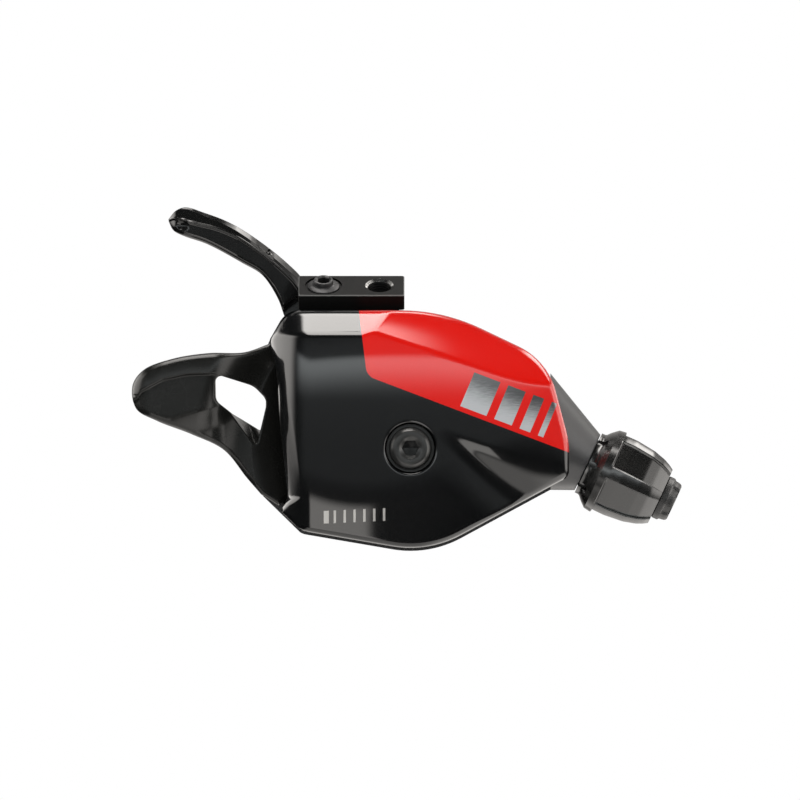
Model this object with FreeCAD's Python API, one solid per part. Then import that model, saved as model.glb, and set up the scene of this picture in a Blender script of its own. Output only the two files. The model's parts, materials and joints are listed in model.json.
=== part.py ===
import FreeCAD, Part
import math
import os

# Right-hand thumb shifter. Millimetres. The origin is the centre of the clamp pad,
# +X runs along the handlebar towards the cable, +Y away from the front cover, +Z up.

Vec = FreeCAD.Vector
FRONT_TO_BACK = Vec(0, 1, 0)

# --- clearances -----------------------------------------------------------------
RUNNING_FIT = 0.06
FREE_GAP = 0.3
HAIR_GAP = 0.1
BEYOND = 10.0

# --- lever pivot ----------------------------------------------------------------
PIVOT_X = 10.5
PIVOT_Z = -29.0
SHAFT_R = 3.0

# --- front to back stack ---------------------------------------------------------
COVER_FRONT_Y = -13.0
COVER_SHOULDER_Y = -9.8
RIM_Y = -3.0
PLATE_FRONT_Y = -9.8
PLATE_THICK = 1.0
BACK_Y = 7.5
BACK_WALL = 1.5
BACK_CHAMFER = 1.6
DRUM_Y = -2.0
DRUM_HALF = 1.5
INDEX_THICK = 2.0
RELEASE_PLATE_Y = 2.5
RELEASE_PLATE_THICK = 1.5
DRIVE_GAP = 0.6
DRIVE_THICK = 2.0
HUB_THICK = 2.2
RETURN_SPRING_THICK = 1.4
WASHER_THICK = 0.6
CLIP_THICK = 0.7
CAP_ROOF = 1.2

# --- cable line --------------------------------------------------------------------
DRUM_R = 11.0
ADJUSTER_DROP = 25.0
ADJUSTER_REACH = 30.24
NECK_SHOWN = 3.806
CASING_END_X = (
    PIVOT_X
    + ADJUSTER_REACH * math.cos(math.radians(ADJUSTER_DROP))
    + DRUM_R * math.sin(math.radians(ADJUSTER_DROP))
    - NECK_SHOWN
)

# --- casing ----------------------------------------------------------------------
TOP_Z = -4.48
COVER_WALL = 1.3
BASE_WALL = 1.6
BASE_LIP = 0.6
BODY_CORNERS = [
    (-11.6, TOP_Z, 4.0),
    (-14.9, -10.3, 1.5),
    (-15.95, -37.5, 0.5),
    (-9.0, -44.3, 3.0),
    (13.8, -48.2, 19.0),
    (CASING_END_X, -34.7, 1.8),
    (CASING_END_X, -27.8, 15.0),
    (CASING_END_X - 3.85, -13.33, 12.4),
    (16.35, TOP_Z, 33.0),
]
FIRST_BOTTOM_CORNER = 3
LAST_BOTTOM_CORNER = 5
FACE_CORNERS = [
    (-9.0, -7.8, 2.5),
    (-9.6, -12.5, 4.0),
    (-9.2, -36.4, 2.0),
    (-5.5, -40.2, 3.0),
    (13.0, -44.4, 16.0),
    (CASING_END_X - 4.15, -33.2, 2.0),
    (CASING_END_X - 3.15, -27.0, 9.0),
    (CASING_END_X - 5.15, -18.9, 5.0),
    (3.0, -7.8, 10.0),
]
COVER_FACETS = {
    "bottom": ((-5.5, -38.4), (11.4, -35.2), 0.3, 0.19),
    "seam": ((-13.1, -15.7), (-11.1, -37.8), 4.4, 1.75),
    "right": ((CASING_END_X - 11.75, -20.0), (CASING_END_X - 11.75, -5.0), 0.0, 0.2),
}
CORNER_FACETS = (
    ((19.8, -27.5), (38.4, -33.0), 0.55, 0.42),
    ((17.0, -20.0), (17.0, -5.0), 0.4, 0.25),
)
FACET_REACH = 22.0
LEVER_MOUTH = [
    (-60.0, -9.7),
    (-14.6, -9.7),
    (-13.1, -15.7),
    (-12.6, -23.0),
    (-11.1, -37.8),
    (-12.7, -39.65),
    (-19.6, -35.1),
    (-60.0, -35.1),
]
BASE_MOUTH_FROM = 139.5
BASE_MOUTH_TO = 217.0
BASE_MOUTH_BACK_Y = 4.3

# --- cover bolt and bearing plate --------------------------------------------------
BOLT_HEAD_R = 3.8
BOLT_HEAD_TALL = 2.0
BOLT_SHANK_R = 2.0
BOLT_SHANK_LONG = 7.0
BOLT_HEX = 2.5
BOLT_HEX_DEEP = 1.4
RECESS_R = 4.6
RECESS_FLOOR = 0.7
COVER_WASHER_THICK = 0.3
BEARING_PLATE_R = 12.7
POST_DISTANCE = 15.4
POST_ANGLES = (35.0, 125.0, 229.0)
POST_R = 2.1
LUG_R = 2.6
PLATE_SCREW_R = 0.9
PLATE_SCREW_LONG = 6.0
PLATE_SCREW_HEAD_R = 1.6
PLATE_SCREW_HEAD_TALL = 0.5
SHAFT_COLLAR_R = 4.6
SHAFT_COLLAR_THICK = 0.5

# --- cable drum and ratchets --------------------------------------------------------
CABLE_R = 0.6
DRUM_FLANGE_R = 12.1
CLICK_ANGLE = 18.0
INDEX_TIP_R = 13.0
INDEX_ROOT_R = 11.9
SPOOL_HUB_R = 5.0
DRIVE_TIP_R = 9.0
DRIVE_ROOT_R = 7.9
DRIVE_SQUARE = 7.0
SPOOL_SPRING_THICK = 3.2

# --- hold pawl and drive pawl --------------------------------------------------------
HOLD_PIN_DISTANCE = 19.0
HOLD_PIN_ANGLE = 76.0
HOLD_NOSE_ANGLE = 99.0
HOLD_PAWL_TAIL = 3.4
DRIVE_PIN_DISTANCE = 13.6
DRIVE_PIN_ANGLE = 222.0
DRIVE_NOSE_ANGLE = 192.0
PAWL_PIN_R = 1.2
PAWL_EYE_R = 2.3
PAWL_THICK = 1.6
PAWL_NOSE_WIDE = 1.3

# --- release lever -------------------------------------------------------------------
RELEASE_BAND_BACK_Y = RELEASE_PLATE_Y
RELEASE_FRONT_Y = -9.0
RELEASE_BACK_Y = 3.4
RELEASE_FORWARD_R = 28.6
RELEASE_EDGE = [
    (-14.46, -10.36),
    (-19.1, -11.95),
    (-25.4, -12.1),
    (-31.8, -13.1),
    (-37.0, -15.1),
    (-39.0, -17.9),
    (-38.3, -22.05),
    (-34.7, -24.15),
    (-28.4, -26.6),
    (-22.7, -29.4),
    (-18.7, -34.3),
    (-16.1, -37.3),
]
RELEASE_ROOT = [
    (-13.0, -39.3),
    (-10.2, -37.2),
    (-9.8, -24.0),
    (-9.9, -15.0),
    (-12.9, -10.4),
]
WINDOW_CORNERS = [
    (-24.4, -15.6, 1.0),
    (-15.9, -18.4, 2.2),
    (-14.9, -20.0, 2.2),
    (-16.7, -29.6, 0.5),
    (-22.2, -22.0, 2.0),
    (-24.3, -20.2, 1.5),
]
RELEASE_PLAN = [
    (-14.0, -3.4, 0.3),
    (-17.0, -4.4, 2.0),
    (-25.5, -9.0, 5.0),
    (-36.8, -9.0, 4.0),
    (-39.6, -5.5, 2.5),
    (-39.6, 1.2, 2.0),
    (-36.5, 3.4, 1.5),
    (-14.0, 3.4, 0.3),
]
RELEASE_RIVETS = [(-12.0, -20.0), (-11.6, -31.0)]
RELEASE_EYE_WALL = 3.0
RELEASE_SPRING_GAP = 0.8
RELEASE_SPRING_DEEP = 2.8
RIVET_R = 1.1
RIVET_HEAD_R = 1.7
RIVET_HEAD_TALL = 0.4

# --- pull lever ------------------------------------------------------------------------
PULL_OUTER_EDGE = [
    (-9.3, 1.8),
    (-11.6, 4.1),
    (-17.3, 8.55),
    (-22.1, 11.4),
    (-26.4, 13.05),
    (-29.6, 14.05),
    (-32.3, 12.8),
    (-32.4, 10.7),
    (-30.0, 8.85),
    (-25.95, 7.5),
    (-19.6, 4.1),
    (-16.0, 1.9),
    (-13.2, -2.3),
    (-11.95, -5.7),
]
PULL_ROOT = [
    (-3.2, -17.6),
    (1.6, -13.6),
    (-6.6, -4.2),
]
PULL_CLEAR_R = 33.0
PULL_ARM_FRONT_Y = BACK_Y + 0.7
PULL_PLAN = [
    (-7.0, 7.4, 0.5),
    (-14.0, 6.2, 5.0),
    (-19.0, 4.2, 6.0),
    (-30.5, 4.2, 3.0),
    (-33.4, 7.5, 2.5),
    (-33.4, 13.0, 2.5),
    (-30.0, 16.4, 4.0),
    (-20.0, 16.4, 8.0),
    (-12.5, 12.3, 5.0),
    (-7.0, 12.3, 0.5),
]
SLOT_CENTRE = (-16.1, 6.8)
SLOT_SLOPE = 38.0
SLOT_LONG = 6.2
SLOT_WIDE = 3.0
HUB_R = 12.0
HUB_ARM_HALF = 5.0
HUB_ARM_LONG = 30.0
PULL_DIRECTION = 129.0
LEVER_BOLT_MARGIN = 3.0
LEVER_BOLT_SPACING = 6.5
LEVER_BOLT_R = 1.3
LEVER_BOLT_HEAD_R = 2.4
LEVER_BOLT_HEAD_TALL = 1.3

# --- rear of the pivot -------------------------------------------------------------------
REAR_WASHER_R = 5.6
CLIP_R = 4.6
CLIP_GROOVE_R = 2.5
CAP_R = 10.5
CAP_WALL = 1.2
CAP_SCREW_R = 1.5
CAP_SCREW_LONG = 5.0
CAP_SCREW_HEAD_R = 2.7
CAP_SCREW_HEAD_TALL = 0.9

# --- clamp block --------------------------------------------------------------------------
PAD_TILT = 29.0
BLOCK_WIDE = 18.9
BLOCK_DEEP = 7.4
BLOCK_THICK = 3.06
HOLE_SPACING = 10.0
TAPPED_R = 2.1
SPOT_R = 3.3
SPOT_DEEP = 0.35
MOUNT_SCREW_R = 1.5
MOUNT_SCREW_LONG = 5.5
MOUNT_FLANGE_R = 2.85
MOUNT_FLANGE_TALL = 0.55
MOUNT_HEAD_R = 1.75
MOUNT_HEAD_TALL = 1.0
MOUNT_HEX = 2.0
PEDESTAL_WIDE = 17.0
CLAMP_BOLT_ROOM = 2.5

# --- barrel adjuster -----------------------------------------------------------------------
NECK_END_R = 5.45
NECK_BACKSET = 0.5
NECK_ROOT_DEPTH = 3.25
NECK_ROOT_DROP = -2.9
NECK_ROOT_TALL = 10.4
NECK_ROOT_DEEP = 7.3
KNOB_COLLAR_R = 5.84
KNOB_SKIN = [(0.5, 5.84), (2.3, 7.66), (6.0, 7.87), (9.6, 7.45), (11.8, 6.8), (13.8, 5.65)]
KNOB_SEAT_L = -0.3
KNOB_GRIPS = 6
GRIP_CUT_R = 4.2
GRIP_CUT_START = 3.8
GRIP_CUT_DEPTH = 1.5
CASTELLATIONS = 8
CASTELLATION_WIDE = 1.1
CASTELLATION_LONG = 1.0
STEM_START = -9.0
STEM_END = 8.6
SEAT_BODY_R = 3.5
STEM_R = SEAT_BODY_R + RUNNING_FIT
SEAT_START = 8.8
SEAT_COLLAR_R = 4.0
SEAT_COLLAR_START = 13.9
SEAT_END = 16.55
SEAT_CHAMFER = 0.8
HOUSING_BORE_R = 2.55
HOUSING_BORE_DEEP = 6.4
SPRING_POCKET_R = 4.7
SPRING_POCKET_DEEP = 2.8
DETENT_SPRING_WIRE_R = 0.45


# --- places worked out from the sizes above --------------------------------------------------
PIVOT = Vec(PIVOT_X, 0, PIVOT_Z)
PAD_NORMAL = Vec(0, -math.sin(math.radians(PAD_TILT)), math.cos(math.radians(PAD_TILT)))
ADJUSTER_TURN = FreeCAD.Rotation(FRONT_TO_BACK, ADJUSTER_DROP)
ADJUSTER_AXIS = ADJUSTER_TURN.multVec(Vec(1, 0, 0))
ADJUSTER_UP = ADJUSTER_TURN.multVec(Vec(0, 0, 1))
ADJUSTER_FOOT = PIVOT + ADJUSTER_AXIS * ADJUSTER_REACH + ADJUSTER_UP * DRUM_R + Vec(0, DRUM_Y, 0)
ADJUSTER_PLACE = FreeCAD.Placement(ADJUSTER_FOOT, ADJUSTER_TURN)

PLATE_BACK_Y = PLATE_FRONT_Y + PLATE_THICK
BACK_INNER_Y = BACK_Y - BACK_WALL
DRUM_FRONT_Y = DRUM_Y - DRUM_HALF
DRUM_BACK_Y = DRUM_Y + DRUM_HALF
INDEX_BACK_Y = DRUM_BACK_Y + INDEX_THICK
RELEASE_PLATE_BACK_Y = RELEASE_PLATE_Y + RELEASE_PLATE_THICK
DRIVE_FRONT_Y = BACK_Y + DRIVE_GAP
DRIVE_BACK_Y = DRIVE_FRONT_Y + DRIVE_THICK
HUB_FRONT_Y = DRIVE_BACK_Y + HAIR_GAP * 2
HUB_BACK_Y = HUB_FRONT_Y + HUB_THICK
REAR_WASHER_Y = HUB_BACK_Y + RETURN_SPRING_THICK + HAIR_GAP * 2
CLIP_Y = REAR_WASHER_Y + WASHER_THICK
SHAFT_BACK_Y = CLIP_Y + CLIP_THICK + 0.8
CAP_BACK_Y = SHAFT_BACK_Y + CAP_ROOF
LEVER_BOLT_DISTANCES = (
    HUB_ARM_LONG - LEVER_BOLT_MARGIN - LEVER_BOLT_SPACING,
    HUB_ARM_LONG - LEVER_BOLT_MARGIN,
)
WASHER_SEAT_Y = PLATE_FRONT_Y - RECESS_FLOOR
HEAD_SEAT_Y = WASHER_SEAT_Y - COVER_WASHER_THICK
HEAD_FRONT_Y = HEAD_SEAT_Y - BOLT_HEAD_TALL


# --- general helpers ----------------------------------------------------------------------
def polar(distance, degrees, centre=PIVOT):
    """Point at a distance and direction from a centre, seen from the front: 90 is up."""
    angle = math.radians(degrees)
    return centre + Vec(distance * math.cos(angle), 0, distance * math.sin(angle))


def rod(radius, y_front, y_back, centre=PIVOT):
    """Cylinder that runs from front to back."""
    return Part.makeCylinder(
        radius, y_back - y_front, Vec(centre.x, y_front, centre.z), FRONT_TO_BACK
    )


def ring(outer, inner, y_front, y_back, centre=PIVOT):
    """Flat ring that lies across the pivot axis."""
    return rod(outer, y_front, y_back, centre).cut(rod(inner, y_front, y_back, centre))


def hex_hole(across_flats, y_front, y_back, centre=PIVOT):
    """Six-sided socket that runs from front to back."""
    return polygon_prism(hexagon(across_flats, centre), y_front, y_back)


def hexagon(across_flats, centre):
    """Six corner points around a centre."""
    corner_r = across_flats / 2 / math.cos(math.radians(30))
    points = [polar(corner_r, 60 * i, centre) for i in range(6)]
    return [(p.x, p.z) for p in points]


def polygon_prism(points, y_front, y_back):
    """Prism on straight edges given as (x, z) points."""
    corners = [Vec(x, y_front, z) for x, z in points]
    face = Part.Face(Part.makePolygon(corners + corners[:1]))
    return face.extrude(Vec(0, y_back - y_front, 0))


def corner_frame(corners, i):
    """Corner i as a flat vector, its two edge directions, and half the angle between them."""
    here = Vec(corners[i][0], corners[i][1], 0)
    before = Vec(corners[i - 1][0], corners[i - 1][1], 0) - here
    following = corners[(i + 1) % len(corners)]
    after = Vec(following[0], following[1], 0) - here
    before.normalize()
    after.normalize()
    return here, before, after, before.getAngle(after) / 2


def inset_corners(corners, inset):
    """The same convex outline with every edge moved inwards by inset."""
    moved = []
    for i, corner in enumerate(corners):
        here, before, after, half = corner_frame(corners, i)
        inward = (before + after).normalize()
        point = here + inward * (inset / math.sin(half))
        moved.append((point.x, point.y, max(corner[2] - inset, 0.3)))
    return moved


def rounded_wire(corners, lift):
    """Closed wire of straight edges and tangent arcs. lift maps a flat point into space."""
    entries = []
    arcs = []
    exits = []
    for i, corner in enumerate(corners):
        here, before, after, half = corner_frame(corners, i)
        radius = corner[2]
        reach = radius / math.tan(half)
        inward = (before + after).normalize()
        crown = here + inward * (radius / math.sin(half) - radius)
        entries.append(lift(here + before * reach))
        exits.append(lift(here + after * reach))
        arcs.append(Part.Arc(entries[-1], lift(crown), exits[-1]).toShape())
    edges = []
    for i, arc in enumerate(arcs):
        edges.append(Part.makeLine(exits[i - 1], entries[i]))
        edges.append(arc)
    return Part.Wire(edges)


def front_wire(corners, y):
    """Rounded outline seen from the front, at depth y."""
    return rounded_wire(corners, lambda p: Vec(p.x, y, p.y))


def front_prism(corners, y_front, y_back):
    """Rounded outline seen from the front, as a prism."""
    return Part.Face(front_wire(corners, y_front)).extrude(Vec(0, y_back - y_front, 0))


def plan_prism(corners, z_low, z_high):
    """Rounded outline seen from above, as a prism."""
    wire = rounded_wire(corners, lambda p: Vec(p.x, p.y, z_low))
    return Part.Face(wire).extrude(Vec(0, 0, z_high - z_low))


def tapered_prism(front, y_front, back, y_back):
    """Straight-sided blend between two rounded outlines with as many corners."""
    wires = [front_wire(front, y_front), front_wire(back, y_back)]
    return Part.makeLoft(wires, True, True)


def curve_edge(points):
    """One smooth edge through points in space."""
    curve = Part.BSplineCurve()
    curve.interpolate(points)
    return curve.toShape()


def lever_prism(curve_points, straight_points, y_front, y_back):
    """Prism on a smooth stretch, closed by straight edges, both as (x, z) points."""
    curve = [Vec(x, y_front, z) for x, z in curve_points]
    straight = [curve[-1]] + [Vec(x, y_front, z) for x, z in straight_points] + [curve[0]]
    edges = [curve_edge(curve)]
    edges += [Part.makeLine(a, b) for a, b in zip(straight, straight[1:])]
    return Part.Face(Part.Wire(edges)).extrude(Vec(0, y_back - y_front, 0))


def spiral_spring(inner, outer, turns, strip, y_front, y_back, centre=PIVOT):
    """Flat strip wound into a spiral around the pivot axis."""
    steps = int(turns * 12)

    def spiral(offset):
        points = []
        for i in range(steps + 1):
            share = i / steps
            point = polar(inner + offset + (outer - inner) * share, 360 * turns * share, centre)
            points.append(Vec(point.x, y_front, point.z))
        return points

    inside = spiral(0)
    outside = spiral(strip)
    edges = [
        curve_edge(inside),
        Part.makeLine(inside[-1], outside[-1]),
        curve_edge(outside),
        Part.makeLine(outside[0], inside[0]),
    ]
    return Part.Face(Part.Wire(edges)).extrude(Vec(0, y_back - y_front, 0))


def ratchet(tip, root, y_front, y_back):
    """Saw-tooth wheel with one tooth for each click."""
    points = []
    for i in range(round(360 / CLICK_ANGLE)):
        start = i * CLICK_ANGLE
        for distance, share in ((root, 0.0), (tip, 0.72), (tip, 0.86)):
            point = polar(distance, start + share * CLICK_ANGLE)
            points.append((point.x, point.z))
    return polygon_prism(points, y_front, y_back)


def turned(edges):
    """Solid of revolution about the adjuster axis, from edges in its (length, radius) plane."""
    solid = Part.Face(Part.Wire(edges)).revolve(Vec(0, 0, 0), Vec(1, 0, 0), 360)
    solid.Placement = ADJUSTER_PLACE
    return solid


def turned_polygon(points):
    """Solid of revolution on straight (length, radius) edges."""
    corners = [Vec(length, radius, 0) for length, radius in points]
    corners.append(corners[0])
    return turned([Part.makeLine(a, b) for a, b in zip(corners, corners[1:])])


def adjuster_rod(radius, start, end):
    """Cylinder on the adjuster axis between two lengths along it."""
    return Part.makeCylinder(
        radius, end - start, ADJUSTER_FOOT + ADJUSTER_AXIS * start, ADJUSTER_AXIS
    )


def pad_rod(radius, x, top, bottom):
    """Cylinder square to the clamp pad, between two heights measured from the pad."""
    return Part.makeCylinder(
        radius, top - bottom, Vec(x, 0, 0) + PAD_NORMAL * bottom, PAD_NORMAL
    )


def save(name, shape):
    """Write one node."""
    shape = shape.removeSplitter()
    if len(shape.Solids) == 1:
        shape = shape.Solids[0]
    shape.exportStep("parts/" + name + ".step")
    print(name, len(shape.Solids), round(shape.Volume, 2), shape.isValid())


# --- casing ------------------------------------------------------------------------------
def cover_corners():
    """Outline of the front cover, which leaves the base's lip showing along the bottom."""
    corners = []
    for i, (x, z, radius) in enumerate(BODY_CORNERS):
        lift = BASE_LIP if FIRST_BOTTOM_CORNER <= i <= LAST_BOTTOM_CORNER else 0.0
        corners.append((x, z + lift, radius))
    return corners


def cover_form(inset):
    """Outer form of the cover, or the form of its inside when inset is the wall."""
    rim = inset_corners(cover_corners(), inset)
    face = inset_corners(FACE_CORNERS, inset * 0.6)
    crown = tapered_prism(face, COVER_FRONT_Y + inset, rim, COVER_SHOULDER_Y)
    form = crown.fuse(front_prism(rim, COVER_SHOULDER_Y, RIM_Y))
    for facet in COVER_FACETS.values():
        form = form.cut(facet_cutter(facet, inset))
    first, second = CORNER_FACETS
    return form.cut(facet_cutter(first, inset).common(facet_cutter(second, inset)))


def facet_cutter(facet, inset):
    """Everything in front of a plane that falls back on the right-hand side of a line."""
    start, end, drop, fall = facet
    along = Vec(end[0] - start[0], 0, end[1] - start[1]).normalize()
    aside = Vec(along.z, 0, -along.x)
    origin = Vec(start[0], COVER_FRONT_Y + inset + drop, start[1]) - along * (FACET_REACH * 3)
    corners = [
        origin - aside * FACET_REACH - FRONT_TO_BACK * (FACET_REACH * fall),
        origin + aside * FACET_REACH + FRONT_TO_BACK * (FACET_REACH * fall),
        origin + aside * FACET_REACH - FRONT_TO_BACK * (FACET_REACH * 2),
        origin - aside * FACET_REACH - FRONT_TO_BACK * (FACET_REACH * 2),
    ]
    face = Part.Face(Part.makePolygon(corners + corners[:1]))
    return face.extrude(along * (FACET_REACH * 6))


def mouth_prism(grow, y_front, y_back):
    """Space at the left of the casing where the release lever comes out."""
    points = [(x + grow, z) for x, z in LEVER_MOUTH]
    low = [i for i, (x, z) in enumerate(LEVER_MOUTH) if z < PIVOT_Z]
    for i in low:
        points[i] = (points[i][0], points[i][1] - grow)
    points[0] = (points[0][0], points[0][1] + grow)
    points[1] = (points[1][0], points[1][1] + grow)
    return polygon_prism(points, y_front, y_back)


def neck_form(grow):
    """Neck that narrows from the casing to the barrel adjuster."""
    root = Vec(
        CASING_END_X - NECK_ROOT_DEPTH,
        (COVER_FRONT_Y + BACK_Y) / 2,
        PIVOT_Z - NECK_ROOT_DROP,
    )
    tall = root + Vec(0, 0, NECK_ROOT_TALL + grow)
    deep = root + Vec(0, NECK_ROOT_DEEP + grow, 0)
    root_wire = Part.Wire(Part.Ellipse(tall, deep, root).toNurbs().toShape())
    centre = ADJUSTER_FOOT - ADJUSTER_AXIS * NECK_BACKSET
    radius = NECK_END_R + grow
    sides = [
        centre + ADJUSTER_UP * radius,
        centre + FRONT_TO_BACK * radius,
        centre - ADJUSTER_UP * radius,
    ]
    end_wire = Part.Wire(Part.Circle(*sides).toNurbs().toShape())
    return Part.makeLoft([root_wire, end_wire], True, True)


def front_cover():
    """Thin shell over the mechanism, with a recess for its bolt."""
    cavity = cover_form(COVER_WALL).cut(
        mouth_prism(COVER_WALL, COVER_FRONT_Y - 1, RIM_Y + 1)
    )
    shell = cover_form(0.0).cut(cavity)
    shell = shell.cut(mouth_prism(0.0, COVER_FRONT_Y - 1, RIM_Y + 1))
    cup = rod(RECESS_R + COVER_WALL, COVER_FRONT_Y + COVER_WALL / 2, PLATE_FRONT_Y)
    shell = shell.fuse(cup)
    shell = shell.cut(rod(RECESS_R, COVER_FRONT_Y - 1, WASHER_SEAT_Y))
    shell = shell.cut(rod(BOLT_SHANK_R + HAIR_GAP, COVER_FRONT_Y, RIM_Y))
    return shell.cut(neck_form(HAIR_GAP))


def base_housing():
    """Rear casing with its posts, its neck and the pedestal under the clamp block."""
    body = front_prism(BODY_CORNERS, RIM_Y, BACK_Y - BACK_CHAMFER)
    back = inset_corners(BODY_CORNERS, BACK_CHAMFER)
    body = body.fuse(tapered_prism(BODY_CORNERS, BACK_Y - BACK_CHAMFER, back, BACK_Y))
    cavity = inset_corners(BODY_CORNERS, BASE_WALL)
    body = body.cut(front_prism(cavity, RIM_Y, BACK_INNER_Y))
    for angle in POST_ANGLES:
        post = polar(POST_DISTANCE, angle)
        body = body.fuse(rod(POST_R, PLATE_BACK_Y, BACK_INNER_Y + 0.5, post))
        body = body.cut(rod(PLATE_SCREW_R, PLATE_BACK_Y, PLATE_BACK_Y + PLATE_SCREW_LONG, post))
    pin = polar(HOLD_PIN_DISTANCE, HOLD_PIN_ANGLE)
    body = body.fuse(rod(PAWL_EYE_R, RELEASE_PLATE_BACK_Y + 1, BACK_INNER_Y + 0.5, pin))
    body = body.cut(rod(PAWL_PIN_R, RELEASE_PLATE_BACK_Y + 1, BACK_INNER_Y, pin))
    body = body.fuse(neck_form(0.0)).fuse(pedestal())
    body = body.cut(pedestal_holes())
    body = body.cut(base_mouth())
    body = body.cut(rod(SPOOL_HUB_R + FREE_GAP, BACK_INNER_Y - 1, BACK_Y + 1))
    body = body.cut(adjuster_rod(STEM_R + RUNNING_FIT, STEM_START - 1, 1))
    body = body.cut(adjuster_rod(CABLE_R * 2, -DRUM_R, 1))
    return body


def base_mouth():
    """Wedge cut out of the left of the base, where the release lever swings."""
    reach = 60.0
    steps = (BASE_MOUTH_FROM, (BASE_MOUTH_FROM + BASE_MOUTH_TO) / 2, BASE_MOUTH_TO)
    points = [(PIVOT_X, PIVOT_Z)]
    for angle in steps:
        point = polar(reach, angle)
        points.append((point.x, point.z))
    return polygon_prism(points, RIM_Y - 1, BASE_MOUTH_BACK_Y)


def pedestal():
    """Wedge and boss that carry the clamp block and take its screw."""
    along = Vec(0, -PAD_NORMAL.z, PAD_NORMAL.y) * -1.0
    foot = PAD_NORMAL * -BLOCK_THICK
    low = foot - along * (BLOCK_DEEP / 2)
    high = foot + along * (BLOCK_DEEP / 2)
    root_z = TOP_Z - BASE_WALL / 2
    profile = [
        low,
        high,
        Vec(0, high.y + 1.4, high.z - 0.8),
        Vec(0, BACK_Y - BACK_CHAMFER, root_z),
        Vec(0, low.y, root_z),
        low,
    ]
    side = Vec(-PEDESTAL_WIDE / 2, 0, 0)
    face = Part.Face(Part.makePolygon([p + side for p in profile]))
    wedge = face.extrude(Vec(PEDESTAL_WIDE, 0, 0))
    x = -HOLE_SPACING / 2
    end = -BLOCK_THICK - MOUNT_SCREW_LONG
    boss = pad_rod(MOUNT_SCREW_R + 1.5, x, -BLOCK_THICK - 1, end)
    return wedge.fuse(boss)


def pedestal_holes():
    """Thread for the mount screw and room for the end of the clamp bolt."""
    thread = pad_rod(MOUNT_SCREW_R, -HOLE_SPACING / 2, 0, -BLOCK_THICK - MOUNT_SCREW_LONG)
    room = pad_rod(TAPPED_R + FREE_GAP, HOLE_SPACING / 2, 0, -BLOCK_THICK - CLAMP_BOLT_ROOM)
    return thread.fuse(room)


# --- cover bolt, bearing plate and shaft --------------------------------------------------
def cover_bolt():
    """Button-head bolt with a hexagon socket."""
    head = rod(BOLT_HEAD_R, HEAD_FRONT_Y, HEAD_SEAT_Y)
    front_rim = [e for e in head.Edges if abs(e.CenterOfMass.y - HEAD_FRONT_Y) < 0.01]
    head = head.makeChamfer(BOLT_HEAD_TALL * 0.4, BOLT_HEAD_R * 0.35, front_rim)
    shank = rod(BOLT_SHANK_R, HEAD_SEAT_Y, PLATE_FRONT_Y + BOLT_SHANK_LONG)
    bolt = head.fuse(shank)
    return bolt.cut(hex_hole(BOLT_HEX, HEAD_FRONT_Y, HEAD_FRONT_Y + BOLT_HEX_DEEP))


def cover_washer():
    """Thin washer on the floor of the recess."""
    return ring(RECESS_R - HAIR_GAP, BOLT_SHANK_R, HEAD_SEAT_Y, WASHER_SEAT_Y)


def bearing_plate():
    """Steel plate on the posts that holds the front of the shaft."""
    plate = rod(BEARING_PLATE_R, PLATE_FRONT_Y, PLATE_BACK_Y)
    for angle in POST_ANGLES:
        plate = plate.fuse(rod(LUG_R, PLATE_FRONT_Y, PLATE_BACK_Y, polar(POST_DISTANCE, angle)))
    for angle in POST_ANGLES:
        hole = polar(POST_DISTANCE, angle)
        plate = plate.cut(rod(PLATE_SCREW_R, PLATE_FRONT_Y, PLATE_BACK_Y, hole))
    return plate.cut(rod(SHAFT_R, PLATE_FRONT_Y, PLATE_BACK_Y))


def plate_screws():
    """Pan-head screws through the bearing plate into the posts."""
    screws = []
    for angle in POST_ANGLES:
        place = polar(POST_DISTANCE, angle)
        head = rod(
            PLATE_SCREW_HEAD_R, PLATE_FRONT_Y - PLATE_SCREW_HEAD_TALL, PLATE_FRONT_Y, place
        )
        screw = head.fuse(
            rod(PLATE_SCREW_R, PLATE_FRONT_Y, PLATE_BACK_Y + PLATE_SCREW_LONG, place)
        )
        slot = hex_hole(1.3, PLATE_FRONT_Y - PLATE_SCREW_HEAD_TALL, PLATE_FRONT_Y - 0.2, place)
        screws.append(screw.cut(slot))
    return Part.makeCompound(screws)


def pivot_shaft():
    """Fixed shaft that every turning piece runs on."""
    shaft = rod(SHAFT_R, PLATE_FRONT_Y, SHAFT_BACK_Y)
    shaft = shaft.fuse(rod(SHAFT_COLLAR_R, PLATE_BACK_Y, PLATE_BACK_Y + SHAFT_COLLAR_THICK))
    shaft = shaft.cut(rod(BOLT_SHANK_R, PLATE_FRONT_Y, PLATE_FRONT_Y + BOLT_SHANK_LONG))
    shaft = shaft.cut(ring(SHAFT_R + 1, CLIP_GROOVE_R, CLIP_Y, CLIP_Y + CLIP_THICK))
    return shaft.cut(rod(CAP_SCREW_R, SHAFT_BACK_Y - CAP_SCREW_LONG, SHAFT_BACK_Y))


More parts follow.
